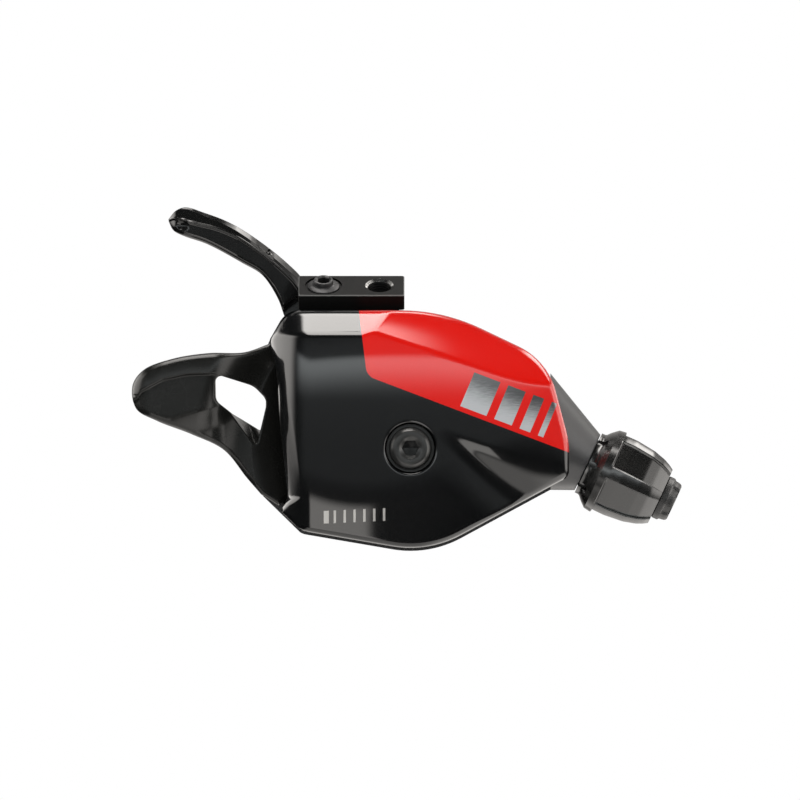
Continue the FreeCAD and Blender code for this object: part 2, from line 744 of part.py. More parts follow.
# --- spool ---------------------------------------------------------------------------------
def cable_spool():
    """Cable drum with the index ratchet and the hub that carries the drive ratchet."""
    drum = rod(DRUM_FLANGE_R, DRUM_FRONT_Y, DRUM_BACK_Y)
    groove = Part.makeTorus(
        DRUM_R + CABLE_R, CABLE_R * 1.5, Vec(PIVOT_X, DRUM_Y, PIVOT_Z), FRONT_TO_BACK
    )
    spool = drum.cut(groove)
    spool = spool.fuse(ratchet(INDEX_TIP_R, INDEX_ROOT_R, DRUM_BACK_Y, INDEX_BACK_Y))
    spool = spool.fuse(rod(SPOOL_HUB_R, DRUM_FRONT_Y, DRIVE_FRONT_Y - DRIVE_GAP / 3))
    spool = spool.fuse(drive_square(DRIVE_FRONT_Y - DRIVE_GAP / 2, DRIVE_BACK_Y))
    nipple = polar(DRUM_R - CABLE_R * 2.5, 150)
    spool = spool.cut(rod(CABLE_R * 2.6, DRUM_FRONT_Y, DRUM_Y + CABLE_R, nipple))
    return spool.cut(rod(SHAFT_R + RUNNING_FIT, DRUM_FRONT_Y, DRIVE_BACK_Y))


def drive_square(y_front, y_back):
    """Four-sided end of the spool's hub."""
    half = DRIVE_SQUARE / 2
    points = [
        (PIVOT_X - half, PIVOT_Z - half),
        (PIVOT_X + half, PIVOT_Z - half),
        (PIVOT_X + half, PIVOT_Z + half),
        (PIVOT_X - half, PIVOT_Z + half),
    ]
    return polygon_prism(points, y_front, y_back)


def spool_spring():
    """Spiral spring that pulls the spool back when a pawl lets go."""
    front = DRUM_FRONT_Y - FREE_GAP - SPOOL_SPRING_THICK
    return spiral_spring(
        SHAFT_R, DRUM_R - 2.0, 4, 0.5, front, DRUM_FRONT_Y - FREE_GAP
    )


def drive_ratchet():
    """Saw-tooth wheel on the spool's square, turned by the pull lever."""
    wheel = ratchet(DRIVE_TIP_R, DRIVE_ROOT_R, DRIVE_FRONT_Y, DRIVE_BACK_Y)
    return wheel.cut(drive_square(DRIVE_FRONT_Y, DRIVE_BACK_Y))


# --- pawls ------------------------------------------------------------------------------------
def pawl(pin, nose, tail, y_front, y_back):
    """Pawl with an eye round its pin, a nose that points at the pivot's wheel and a short tail."""
    along = (nose - pin).normalize()
    inward = Vec(-along.z, 0, along.x)
    if inward.dot(PIVOT - pin) < 0:
        inward = inward * -1.0
    points = [
        pin + inward * PAWL_EYE_R,
        nose,
        nose - inward * PAWL_NOSE_WIDE,
        pin - inward * PAWL_EYE_R,
        pin - along * tail - inward * 0.8,
        pin - along * tail + inward * 0.8,
    ]
    body = polygon_prism([(p.x, p.z) for p in points], y_front, y_back)
    body = body.fuse(rod(PAWL_EYE_R, y_front, y_back, pin))
    return body.cut(rod(PAWL_PIN_R + RUNNING_FIT, y_front, y_back, pin))


def hold_pawl():
    """Pawl that holds the index ratchet until the release lever lifts it."""
    pin = polar(HOLD_PIN_DISTANCE, HOLD_PIN_ANGLE)
    nose = polar(INDEX_TIP_R + FREE_GAP, HOLD_NOSE_ANGLE)
    front = DRUM_BACK_Y + (INDEX_THICK - PAWL_THICK) / 2
    return pawl(pin, nose, HOLD_PAWL_TAIL, front, front + PAWL_THICK)


def hold_pawl_pin():
    """Pin from the back wall through the hold pawl."""
    pin = polar(HOLD_PIN_DISTANCE, HOLD_PIN_ANGLE)
    shaft = rod(PAWL_PIN_R, DRUM_BACK_Y - 0.6, BACK_INNER_Y, pin)
    return shaft.fuse(rod(PAWL_PIN_R + 0.6, DRUM_BACK_Y - 1.1, DRUM_BACK_Y - 0.1, pin))


def hold_pawl_spring():
    """Small spiral spring behind the hold pawl."""
    pin = polar(HOLD_PIN_DISTANCE, HOLD_PIN_ANGLE)
    front = INDEX_BACK_Y + HAIR_GAP
    return spiral_spring(
        PAWL_PIN_R, PAWL_PIN_R + 1.0, 2, 0.25, front, RELEASE_PLATE_BACK_Y + 1, pin
    )


def drive_pawl():
    """Pawl on the pull lever's hub that turns the drive ratchet."""
    pin = polar(DRIVE_PIN_DISTANCE, DRIVE_PIN_ANGLE)
    nose = polar(DRIVE_TIP_R + HAIR_GAP * 1.5, DRIVE_NOSE_ANGLE)
    back = HUB_FRONT_Y - HAIR_GAP
    return pawl(pin, nose, 1.0, back - PAWL_THICK, back)


def drive_pawl_pin():
    """Headed pin in the hub plate that carries the drive pawl."""
    pin = polar(DRIVE_PIN_DISTANCE, DRIVE_PIN_ANGLE)
    shaft = rod(PAWL_PIN_R, HUB_FRONT_Y - HAIR_GAP - PAWL_THICK, HUB_BACK_Y, pin)
    return shaft.fuse(rod(PAWL_PIN_R + 0.6, HUB_BACK_Y, HUB_BACK_Y + 0.4, pin))


def drive_pawl_spring():
    """Leaf spring on the hub plate beside the drive pawl."""
    start = polar(DRIVE_PIN_DISTANCE + 2.9, DRIVE_PIN_ANGLE - 28)
    end = polar(DRIVE_PIN_DISTANCE + 3.2, DRIVE_PIN_ANGLE - 2)
    along = (end - start).normalize()
    across = Vec(-along.z, 0, along.x) * 0.25
    points = [start + across, end + across, end - across, start - across]
    leaf = polygon_prism([(p.x, p.z) for p in points], HUB_FRONT_Y - PAWL_THICK, HUB_FRONT_Y)
    return leaf.fuse(rod(0.7, HUB_FRONT_Y - PAWL_THICK, HUB_FRONT_Y, start))


# --- release lever -------------------------------------------------------------------------
def release_lever():
    """Dished paddle with a window, on a band that runs in under the cover."""
    band = lever_prism(RELEASE_EDGE, RELEASE_ROOT, RIM_Y + FREE_GAP, RELEASE_BAND_BACK_Y)
    blade = lever_prism(RELEASE_EDGE, RELEASE_ROOT, RELEASE_FRONT_Y, RELEASE_BACK_Y)
    blade = blade.common(plan_prism(RELEASE_PLAN, -50, 0))
    blade = blade.common(mouth_prism(-FREE_GAP, RELEASE_FRONT_Y, RELEASE_BACK_Y))
    blade = blade.cut(rod(RELEASE_FORWARD_R, RELEASE_FRONT_Y - 1, RELEASE_BACK_Y + 1))
    lever = band.fuse(blade)
    lever = lever.cut(front_prism(WINDOW_CORNERS, RELEASE_FRONT_Y - 1, RELEASE_BACK_Y + 1))
    for x, z in RELEASE_RIVETS:
        lever = lever.cut(rod(RIVET_R, RIM_Y, RELEASE_BAND_BACK_Y, Vec(x, 0, z)))
        lever = lever.cut(
            rod(RIVET_HEAD_R, RIM_Y, RIM_Y + FREE_GAP + RIVET_HEAD_TALL, Vec(x, 0, z))
        )
    return lever


def release_plate():
    """Steel plate that carries the release lever on the spool's hub."""
    low = polar(SPOOL_HUB_R + RELEASE_EYE_WALL, 262)
    high = polar(SPOOL_HUB_R + RELEASE_EYE_WALL, 100)
    points = [(high.x, high.z)]
    points += [(-9.2, -15.5), (-12.6, -17.8), (-12.3, -24.0), (-11.4, -34.2), (-9.2, -35.6)]
    points += [(low.x, low.z)]
    plate = polygon_prism(points, RELEASE_PLATE_Y, RELEASE_PLATE_BACK_Y)
    plate = plate.fuse(rod(SPOOL_HUB_R + RELEASE_EYE_WALL, RELEASE_PLATE_Y, RELEASE_PLATE_BACK_Y))
    plate = plate.cut(rod(SPOOL_HUB_R + RUNNING_FIT, RELEASE_PLATE_Y, RELEASE_PLATE_BACK_Y))
    for x, z in RELEASE_RIVETS:
        plate = plate.cut(rod(RIVET_R, RELEASE_PLATE_Y, RELEASE_PLATE_BACK_Y, Vec(x, 0, z)))
    return plate


def release_rivets():
    """Rivets that join the release lever to its plate."""
    rivets = []
    front = RIM_Y + FREE_GAP
    for x, z in RELEASE_RIVETS:
        place = Vec(x, 0, z)
        rivet = rod(RIVET_R, front, RELEASE_PLATE_BACK_Y, place)
        rivets.append(rivet.fuse(rod(RIVET_HEAD_R, front, front + RIVET_HEAD_TALL, place)))
    return Part.makeCompound(rivets)


def release_lever_spring():
    """Spiral spring that brings the release lever back."""
    return spiral_spring(
        SPOOL_HUB_R + RELEASE_SPRING_GAP,
        SPOOL_HUB_R + RELEASE_SPRING_GAP + RELEASE_SPRING_DEEP,
        3,
        0.4,
        RELEASE_PLATE_BACK_Y + HAIR_GAP, BACK_INNER_Y - HAIR_GAP,
    )


# --- pull lever ------------------------------------------------------------------------------
def pull_lever():
    """Curved thumb lever whose root lies against the hub plate."""
    blade = lever_prism(PULL_OUTER_EDGE, PULL_ROOT, 0, CAP_BACK_Y + BEYOND)
    blade = blade.common(plan_prism(PULL_PLAN, PULL_ROOT[0][1], PULL_OUTER_EDGE[5][1] + BEYOND))
    blade = blade.cut(rod(PULL_CLEAR_R, 0, CAP_BACK_Y + BEYOND))
    root = lever_prism(PULL_OUTER_EDGE, PULL_ROOT, PULL_ARM_FRONT_Y, HUB_FRONT_Y)
    root = root.common(rod(PULL_CLEAR_R + 3, PULL_ARM_FRONT_Y, HUB_FRONT_Y))
    link = lever_prism(PULL_OUTER_EDGE, PULL_ROOT, PULL_ARM_FRONT_Y, HUB_BACK_Y)
    link = link.common(ring(PULL_CLEAR_R + 3, HUB_ARM_LONG + HAIR_GAP, 0, CAP_BACK_Y))
    lever = blade.fuse(root).fuse(link)
    for distance in LEVER_BOLT_DISTANCES:
        hole = polar(distance, PULL_DIRECTION)
        lever = lever.cut(rod(LEVER_BOLT_R, PULL_ARM_FRONT_Y, HUB_FRONT_Y, hole))
    return lever.cut(thumb_slot())


def thumb_slot():
    """Slot through the thumb face, square to it."""
    long_half = (SLOT_LONG - SLOT_WIDE) / 2
    middle_y = (PULL_PLAN[2][1] + PULL_PLAN[6][1]) / 2
    low = Vec(-long_half, -SLOT_WIDE / 2, -BEYOND)
    slot = Part.makeBox(long_half * 2, SLOT_WIDE, BEYOND * 2, low)
    for end in (-long_half, long_half):
        slot = slot.fuse(Part.makeCylinder(SLOT_WIDE / 2, BEYOND * 2, Vec(end, 0, -BEYOND)))
    turn = FreeCAD.Rotation(FRONT_TO_BACK, SLOT_SLOPE)
    slot.Placement = FreeCAD.Placement(Vec(SLOT_CENTRE[0], middle_y, SLOT_CENTRE[1]), turn)
    return slot


def pull_lever_hub():
    """Steel hub plate on the shaft that carries the pull lever and the drive pawl."""
    hub = rod(HUB_R, HUB_FRONT_Y, HUB_BACK_Y)
    eye = polar(DRIVE_PIN_DISTANCE, DRIVE_PIN_ANGLE)
    hub = hub.fuse(rod(PAWL_EYE_R + 0.8, HUB_FRONT_Y, HUB_BACK_Y, eye))
    spring_foot = polar(DRIVE_PIN_DISTANCE + 2.9, DRIVE_PIN_ANGLE - 28)
    hub = hub.fuse(rod(1.6, HUB_FRONT_Y, HUB_BACK_Y, spring_foot))
    spring_root = polar(DRIVE_PIN_DISTANCE, DRIVE_PIN_ANGLE - 28)
    hub = hub.fuse(rod(2.6, HUB_FRONT_Y, HUB_BACK_Y, spring_root))
    along = polar(1, PULL_DIRECTION) - PIVOT
    across = Vec(-along.z, 0, along.x) * HUB_ARM_HALF
    end = polar(HUB_ARM_LONG - HUB_ARM_HALF, PULL_DIRECTION)
    points = [PIVOT + across, end + across, end - across, PIVOT - across]
    arm = polygon_prism([(p.x, p.z) for p in points], HUB_FRONT_Y, HUB_BACK_Y)
    arm = arm.fuse(rod(HUB_ARM_HALF, HUB_FRONT_Y, HUB_BACK_Y, end))
    hub = hub.fuse(arm)
    for distance in LEVER_BOLT_DISTANCES:
        hole = polar(distance, PULL_DIRECTION)
        hub = hub.cut(rod(LEVER_BOLT_R, HUB_FRONT_Y, HUB_BACK_Y, hole))
    hub = hub.cut(rod(PAWL_PIN_R, HUB_FRONT_Y, HUB_BACK_Y, eye))
    return hub.cut(rod(SHAFT_R + RUNNING_FIT, HUB_FRONT_Y, HUB_BACK_Y))


def lever_bolts():
    """Bolts from behind the hub plate into the pull lever's root."""
    bolts = []
    for distance in LEVER_BOLT_DISTANCES:
        place = polar(distance, PULL_DIRECTION)
        top = HUB_BACK_Y + LEVER_BOLT_HEAD_TALL
        bolt = rod(LEVER_BOLT_R, PULL_ARM_FRONT_Y, HUB_BACK_Y, place)
        bolt = bolt.fuse(rod(LEVER_BOLT_HEAD_R, HUB_BACK_Y, top, place))
        bolts.append(bolt.cut(hex_hole(2.0, HUB_BACK_Y + 0.3, top, place)))
    return Part.makeCompound(bolts)


def pull_lever_spring():
    """Spiral spring that brings the pull lever back."""
    front = HUB_BACK_Y + HAIR_GAP
    return spiral_spring(
        SHAFT_R + 0.4, CAP_R - CAP_WALL - 1.0, 4, 0.5, front, front + RETURN_SPRING_THICK
    )


# --- rear of the pivot ---------------------------------------------------------------------
def rear_washer():
    """Washer that keeps the pull lever's hub on the shaft."""
    return ring(REAR_WASHER_R, SHAFT_R, REAR_WASHER_Y, CLIP_Y)


def retaining_clip():
    """Open clip in the shaft's groove."""
    clip = ring(CLIP_R, CLIP_GROOVE_R, CLIP_Y, CLIP_Y + CLIP_THICK)
    mouth = Part.makeBox(
        CLIP_GROOVE_R * 1.5, CLIP_THICK, CLIP_R * 2,
        Vec(PIVOT_X - CLIP_GROOVE_R * 0.75, CLIP_Y, PIVOT_Z - CLIP_R * 2),
    )
    return clip.cut(mouth)


def rear_cap():
    """Cap over the return spring, screwed to the end of the shaft."""
    front = HUB_BACK_Y + FREE_GAP + HAIR_GAP
    cap = rod(CAP_R, front, CAP_BACK_Y)
    rim = [
        e for e in cap.Edges
        if abs(e.CenterOfMass.y - CAP_BACK_Y) < 0.01 and len(e.Vertexes) == 1
    ]
    cap = cap.makeFillet(CAP_ROOF * 0.8, rim)
    cap = cap.cut(rod(CAP_R - CAP_WALL, front, SHAFT_BACK_Y))
    cap = cap.cut(rod(CAP_SCREW_R, SHAFT_BACK_Y, CAP_BACK_Y))
    seat = CAP_BACK_Y - CAP_SCREW_HEAD_TALL * 0.6
    return cap.cut(rod(CAP_SCREW_HEAD_R + HAIR_GAP, seat, CAP_BACK_Y))


def cap_screw():
    """Screw that holds the rear cap."""
    seat = CAP_BACK_Y - CAP_SCREW_HEAD_TALL * 0.6
    top = seat + CAP_SCREW_HEAD_TALL
    screw = rod(CAP_SCREW_HEAD_R, seat, top)
    screw = screw.fuse(rod(CAP_SCREW_R, SHAFT_BACK_Y - CAP_SCREW_LONG, seat))
    return screw.cut(hex_hole(2.0, seat + 0.2, top))


# --- clamp block --------------------------------------------------------------------------
def mount_block():
    """Tilted block that bolts to a handlebar clamp."""
    block = Part.makeBox(
        BLOCK_WIDE, BLOCK_DEEP, BLOCK_THICK, Vec(-BLOCK_WIDE / 2, -BLOCK_DEEP / 2, -BLOCK_THICK)
    )
    block = block.makeChamfer(0.35, [e for e in block.Edges if e.CenterOfMass.z > -BLOCK_THICK + 0.1])
    turn = FreeCAD.Rotation(Vec(1, 0, 0), PAD_TILT)
    block.Placement = FreeCAD.Placement(Vec(0, 0, 0), turn)
    left = -HOLE_SPACING / 2
    right = HOLE_SPACING / 2
    block = block.cut(pad_rod(MOUNT_SCREW_R, left, 0, -BLOCK_THICK))
    block = block.cut(pad_rod(SPOT_R, left, 0, -SPOT_DEEP))
    return block.cut(pad_rod(TAPPED_R, right, 0, -BLOCK_THICK))


def mount_screw():
    """Flanged screw that holds the block to its pedestal."""
    x = -HOLE_SPACING / 2
    seat = -SPOT_DEEP
    screw = pad_rod(MOUNT_FLANGE_R, x, seat + MOUNT_FLANGE_TALL, seat)
    screw = screw.fuse(pad_rod(MOUNT_HEAD_R, x, seat + MOUNT_FLANGE_TALL + MOUNT_HEAD_TALL, seat))
    screw = screw.fuse(pad_rod(MOUNT_SCREW_R, x, seat, -BLOCK_THICK - MOUNT_SCREW_LONG))
    socket = Part.makeCylinder(MOUNT_HEX / 2, 1.1)
    socket.Placement = FreeCAD.Placement(
        Vec(x, 0, 0) + PAD_NORMAL * (seat + MOUNT_FLANGE_TALL + MOUNT_HEAD_TALL - 1.1),
        FreeCAD.Rotation(Vec(1, 0, 0), PAD_TILT),
    )
    return screw.cut(socket)


# --- barrel adjuster ------------------------------------------------------------------------
def adjuster_knob():
    """Fluted barrel with castellations where it meets the neck."""
    skin = [Vec(length, radius, 0) for length, radius in KNOB_SKIN]
    inner = Vec(KNOB_SEAT_L, 0, 0)
    edges = [
        Part.makeLine(inner, Vec(KNOB_SEAT_L, KNOB_COLLAR_R, 0)),
        Part.makeLine(Vec(KNOB_SEAT_L, KNOB_COLLAR_R, 0), skin[0]),
        curve_edge(skin),
        Part.makeLine(skin[-1], Vec(skin[-1].x, 0, 0)),
        Part.makeLine(Vec(skin[-1].x, 0, 0), inner),
    ]
    knob = turned(edges)
    knob = knob.cut(adjuster_rod(STEM_R, KNOB_SEAT_L, KNOB_SKIN[-1][0]))
    knob = knob.cut(adjuster_rod(SPRING_POCKET_R, KNOB_SEAT_L, SPRING_POCKET_DEEP))
    for i in range(KNOB_GRIPS):
        knob = knob.cut(grip_cutter(360 / KNOB_GRIPS * (i + 0.5) - 90))
    for i in range(CASTELLATIONS):
        knob = knob.cut(castellation(360 / CASTELLATIONS * i - 90))
    return knob


def grip_cutter(degrees):
    """Tilted cylinder that scoops one finger groove out of the knob."""
    top = max(radius for length, radius in KNOB_SKIN)
    start = Vec(GRIP_CUT_START, 0, top + GRIP_CUT_R - GRIP_CUT_DEPTH)
    end = Vec(KNOB_SKIN[-1][0] + 2, 0, top + GRIP_CUT_R - 0.9)
    cutter = Part.makeCylinder(GRIP_CUT_R, (end - start).Length, start, end - start)
    cutter.rotate(Vec(0, 0, 0), Vec(1, 0, 0), degrees)
    cutter.Placement = ADJUSTER_PLACE.multiply(cutter.Placement)
    return cutter


def castellation(degrees):
    """Small slot across the knob's inner collar."""
    box = Part.makeBox(
        CASTELLATION_LONG + 1, CASTELLATION_WIDE, KNOB_COLLAR_R,
        Vec(KNOB_SEAT_L - 1, -CASTELLATION_WIDE / 2, SPRING_POCKET_R - 0.6),
    )
    box.rotate(Vec(0, 0, 0), Vec(1, 0, 0), degrees)
    box.Placement = ADJUSTER_PLACE.multiply(box.Placement)
    return box


def adjuster_stem():
    """Threaded tube that screws into the neck."""
    return adjuster_rod(STEM_R, STEM_START, STEM_END).cut(
        adjuster_rod(CABLE_R * 2, STEM_START, STEM_END)
    )


def housing_seat():
    """Ferrule in the knob's end that takes the cable housing."""
    seat = turned_polygon([
        (SEAT_START, 0),
        (SEAT_START, SEAT_BODY_R),
        (SEAT_COLLAR_START, SEAT_BODY_R),
        (SEAT_COLLAR_START, SEAT_COLLAR_R),
        (SEAT_END - SEAT_CHAMFER, SEAT_COLLAR_R),
        (SEAT_END, SEAT_COLLAR_R - SEAT_CHAMFER),
        (SEAT_END, 0),
    ])
    seat = seat.cut(adjuster_rod(CABLE_R * 2, SEAT_START, SEAT_END))
    return seat.cut(adjuster_rod(HOUSING_BORE_R, SEAT_END - HOUSING_BORE_DEEP, SEAT_END))


def adjuster_spring():
    """Closed coil between the neck and the knob that keeps the thread from turning by itself."""
    wire = DETENT_SPRING_WIRE_R
    start = wire - NECK_BACKSET
    end = SPRING_POCKET_DEEP - wire
    coils = math.ceil((end - start) / (wire * 1.8)) + 1
    coil = None
    for i in range(coils):
        length = start + (end - start) * i / (coils - 1)
        centre = ADJUSTER_FOOT + ADJUSTER_AXIS * length
        turn = Part.makeTorus((SPRING_POCKET_R + STEM_R) / 2, wire, centre, ADJUSTER_AXIS)
        coil = coil.fuse(turn) if coil else turn
    return coil


def main():
    """Build and write every node."""
    os.makedirs("parts", exist_ok=True)
    for piece in (
        front_cover, cover_bolt, cover_washer, base_housing, bearing_plate, plate_screws,
        pivot_shaft, cable_spool, spool_spring, drive_ratchet, hold_pawl, hold_pawl_pin,
        hold_pawl_spring, release_lever, release_plate, release_rivets, release_lever_spring,
        pull_lever, pull_lever_hub, lever_bolts, drive_pawl, drive_pawl_pin, drive_pawl_spring,
        pull_lever_spring, rear_washer, retaining_clip, rear_cap, cap_screw, mount_block,
        mount_screw, adjuster_knob, adjuster_stem, housing_seat, adjuster_spring,
    ):
        save(piece.__name__, piece())


main()
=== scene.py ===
import json
import logging
import math
from dataclasses import dataclass
from enum import Enum
from typing import Optional, Sequence, Union

import bmesh
import bpy
import numpy as np
from mathutils import Matrix, Vector


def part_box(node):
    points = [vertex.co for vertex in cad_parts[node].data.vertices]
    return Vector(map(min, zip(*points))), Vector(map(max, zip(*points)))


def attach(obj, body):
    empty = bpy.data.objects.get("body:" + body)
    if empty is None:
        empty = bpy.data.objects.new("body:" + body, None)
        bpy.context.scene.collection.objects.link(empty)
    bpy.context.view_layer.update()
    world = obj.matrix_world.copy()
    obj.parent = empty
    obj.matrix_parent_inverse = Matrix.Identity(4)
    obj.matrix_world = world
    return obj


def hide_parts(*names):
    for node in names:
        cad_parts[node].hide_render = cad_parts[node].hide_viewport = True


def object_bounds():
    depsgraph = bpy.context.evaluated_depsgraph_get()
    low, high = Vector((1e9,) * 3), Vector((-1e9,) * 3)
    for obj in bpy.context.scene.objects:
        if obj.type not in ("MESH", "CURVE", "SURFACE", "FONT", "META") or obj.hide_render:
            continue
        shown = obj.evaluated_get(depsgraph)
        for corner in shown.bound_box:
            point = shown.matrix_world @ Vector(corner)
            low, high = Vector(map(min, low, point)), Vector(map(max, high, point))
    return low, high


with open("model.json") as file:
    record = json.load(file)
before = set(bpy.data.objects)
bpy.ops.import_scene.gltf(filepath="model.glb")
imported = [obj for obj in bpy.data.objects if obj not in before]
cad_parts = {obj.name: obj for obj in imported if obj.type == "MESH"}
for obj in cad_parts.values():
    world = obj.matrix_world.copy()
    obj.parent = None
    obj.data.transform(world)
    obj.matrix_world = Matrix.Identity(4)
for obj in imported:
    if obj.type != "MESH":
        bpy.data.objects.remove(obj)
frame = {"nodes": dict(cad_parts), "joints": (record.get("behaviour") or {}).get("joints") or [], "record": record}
CAD_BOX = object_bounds()

LOG = logging.getLogger("thumb_shifter")
MM = 0.001

Corner = tuple[float, float, float]
Point2 = tuple[float, float]
Colour = tuple[float, float, float]
Number = Union[int, float]
Operand = Union["Value", int, float]
Radius = Union[float, np.ndarray]
Material = bpy.types.Material
Socket = bpy.types.NodeSocket
Object = bpy.types.Object
Array = np.ndarray


# --- shader maths ---
class Value:
    """A number that varies over a surface, with arithmetic that adds Math nodes."""

    def __init__(self, paint: "Paint", socket: Socket) -> None:
        """Wrap a socket.

        Args:
            paint: the material that the socket belongs to.
            socket: the output socket that carries the number.
        """
        self.paint = paint
        self.socket = socket

    def _math(self, operation: str, *operands: Operand) -> "Value":
        """Add one Math node.

        Args:
            operation: the node's operation.
            *operands: its inputs, in order.

        Returns:
            The node's result.
        """
        inputs = {i: operand for i, operand in enumerate(operands)}
        node = self.paint.node("ShaderNodeMath", {"operation": operation}, inputs)
        return Value(self.paint, node.outputs[0])

    def __add__(self, other: Operand) -> "Value":
        """Sum."""
        return self._math("ADD", self, other)

    __radd__ = __add__

    def __sub__(self, other: Operand) -> "Value":
        """Difference."""
        return self._math("SUBTRACT", self, other)

    def __rsub__(self, other: Number) -> "Value":
        """Difference from a plain number."""
        return self._math("SUBTRACT", other, self)

    def __mul__(self, other: Operand) -> "Value":
        """Product."""
        return self._math("MULTIPLY", self, other)

    __rmul__ = __mul__

    def __truediv__(self, other: Operand) -> "Value":
        """Quotient."""
        return self._math("DIVIDE", self, other)

    def power(self, exponent: float) -> "Value":
        """Power of this value."""
        return self._math("POWER", self, exponent)

    def larger(self, other: Operand) -> "Value":
        """The larger of two values."""
        return self._math("MAXIMUM", self, other)

    def sine(self) -> "Value":
        """Sine of this value, in radians."""
        return self._math("SINE", self)

    def wrap(self, period: float) -> "Value":
        """Remainder in the range from 0 to period."""
        return self._math("WRAP", self, period, 0.0)

    def ramp(self, low: float, high: float) -> "Value":
        """Smooth step.

        Args:
            low: where the result is 0.
            high: where the result is 1. It may lie below low.

        Returns:
            A value from 0 to 1.
        """
        flip = low > high
        settings = {"interpolation_type": "SMOOTHSTEP"}
        inputs = {"Value": self, "From Min": min(low, high), "From Max": max(low, high)}
        inputs.update({"To Min": 1.0, "To Max": 0.0} if flip else {"To Min": 0.0, "To Max": 1.0})
        node = self.paint.node("ShaderNodeMapRange", settings, inputs)
        return Value(self.paint, node.outputs[0])


class Paint:
    """One node material, built by method calls."""

    def __init__(self, name: str) -> None:
        """Start an empty material.

        Args:
            name: the material's name.
        """
        self.material = bpy.data.materials.new(name)
        self.material.use_nodes = True
        self.tree = self.material.node_tree
        self.tree.nodes.clear()
        self._coords: Optional[bpy.types.Node] = None

    def node(
        self, kind: str, settings: Optional[dict] = None, inputs: Optional[dict] = None,
    ) -> bpy.types.Node:
        """Add any node.

        Args:
            kind: the node's type.
            settings: attributes, set first.
            inputs: sockets by name or index, each a number, a colour, a Value or a socket.

        Returns:
            The new node.
        """
        node = self.tree.nodes.new(kind)
        for key, setting in (settings or {}).items():
            setattr(node, key, setting)
        for key, given in (inputs or {}).items():
            socket = node.inputs[key]
            if isinstance(given, Value):
                self.tree.links.new(given.socket, socket)
            elif isinstance(given, Socket):
                self.tree.links.new(given, socket)
            else:
                socket.default_value = given
        return node

    def place(self) -> Socket:
        """Position on the object, in metres in the row's frame.

        Returns:
            The position socket.
        """
        if self._coords is None:
            self._coords = self.node("ShaderNodeTexCoord")
        return self._coords.outputs["Object"]

    def axes_mm(self) -> tuple[Value, Value, Value]:
        """Position along x, y and z in millimetres."""
        split = self.node("ShaderNodeSeparateXYZ", None, {0: self.place()})
        return tuple(Value(self, out) * 1000.0 for out in split.outputs)

    def noise(self, grain_mm: float, detail: float = 3.0, stretch: Sequence[float] = (1, 1, 1)) -> Value:
        """Noise between 0 and 1.

        Args:
            grain_mm: size of one blotch.
            detail: number of finer layers.
            stretch: how much closer the blotches lie along each axis.

        Returns:
            The noise value.
        """
        inputs = {0: self.place(), 1: tuple(stretch)}
        scaled = self.node("ShaderNodeVectorMath", {"operation": "MULTIPLY"}, inputs)
        inputs = {"Vector": scaled.outputs[0], "Scale": 1.0 / (grain_mm * MM), "Detail": detail}
        node = self.node("ShaderNodeTexNoise", None, inputs)
        return Value(self, node.outputs[0])

    def cells(self, size_mm: float) -> Value:
        """Distance to the nearest of scattered points, for pits and flecks.

        Args:
            size_mm: distance between the points.

        Returns:
            The distance.
        """
        inputs = {"Vector": self.place(), "Scale": 1.0 / (size_mm * MM)}
        node = self.node("ShaderNodeTexVoronoi", None, inputs)
        return Value(self, node.outputs["Distance"])

    def edges(self, low: float = 0.53, high: float = 0.60) -> Value:
        """Near 1 on outer edges of a dense mesh and near 0 elsewhere."""
        geometry = self.node("ShaderNodeNewGeometry")
        return Value(self, geometry.outputs["Pointiness"]).ramp(low, high)

    def mix(self, factor: Operand, low: Union[Colour, Socket], high: Union[Colour, Socket]) -> Socket:
        """Blend two colours.

        Args:
            factor: 0 gives low and 1 gives high.
            low: a colour or a colour socket.
            high: a colour or a colour socket.

        Returns:
            The blended colour's socket.
        """
        low = (*low, 1.0) if isinstance(low, tuple) else low
        high = (*high, 1.0) if isinstance(high, tuple) else high
        node = self.node("ShaderNodeMix", {"data_type": "RGBA"}, {0: factor, 6: low, 7: high})
        return node.outputs[2]

    def bump(self, height: Value, depth_mm: float, strength: float = 1.0) -> Socket:
        """Normal from a height that runs from 0 to 1.

        Args:
            height: the height value.
            depth_mm: what a height of 1 stands for.
            strength: share of the effect.

        Returns:
            The normal socket.
        """
        inputs = {"Height": height, "Distance": depth_mm * MM, "Strength": strength}
        return self.node("ShaderNodeBump", None, inputs).outputs[0]

    def surface(self, **sockets: Union[Operand, Socket, tuple]) -> Material:
        """Close the material with a Principled shader.

        Args:
            **sockets: its inputs, with underscores for spaces.

        Returns:
            The finished material.
        """
        inputs = {key.replace("_", " "): given for key, given in sockets.items()}
        shader = self.node("ShaderNodeBsdfPrincipled", None, inputs)
        out = self.node("ShaderNodeOutputMaterial")
        self.tree.links.new(shader.outputs[0], out.inputs[0])
        return self.material


# --- finishes ---
def shaded(colour: Colour, share: float) -> Colour:
    """A colour with each channel scaled by share."""
    return tuple(channel * share for channel in colour)


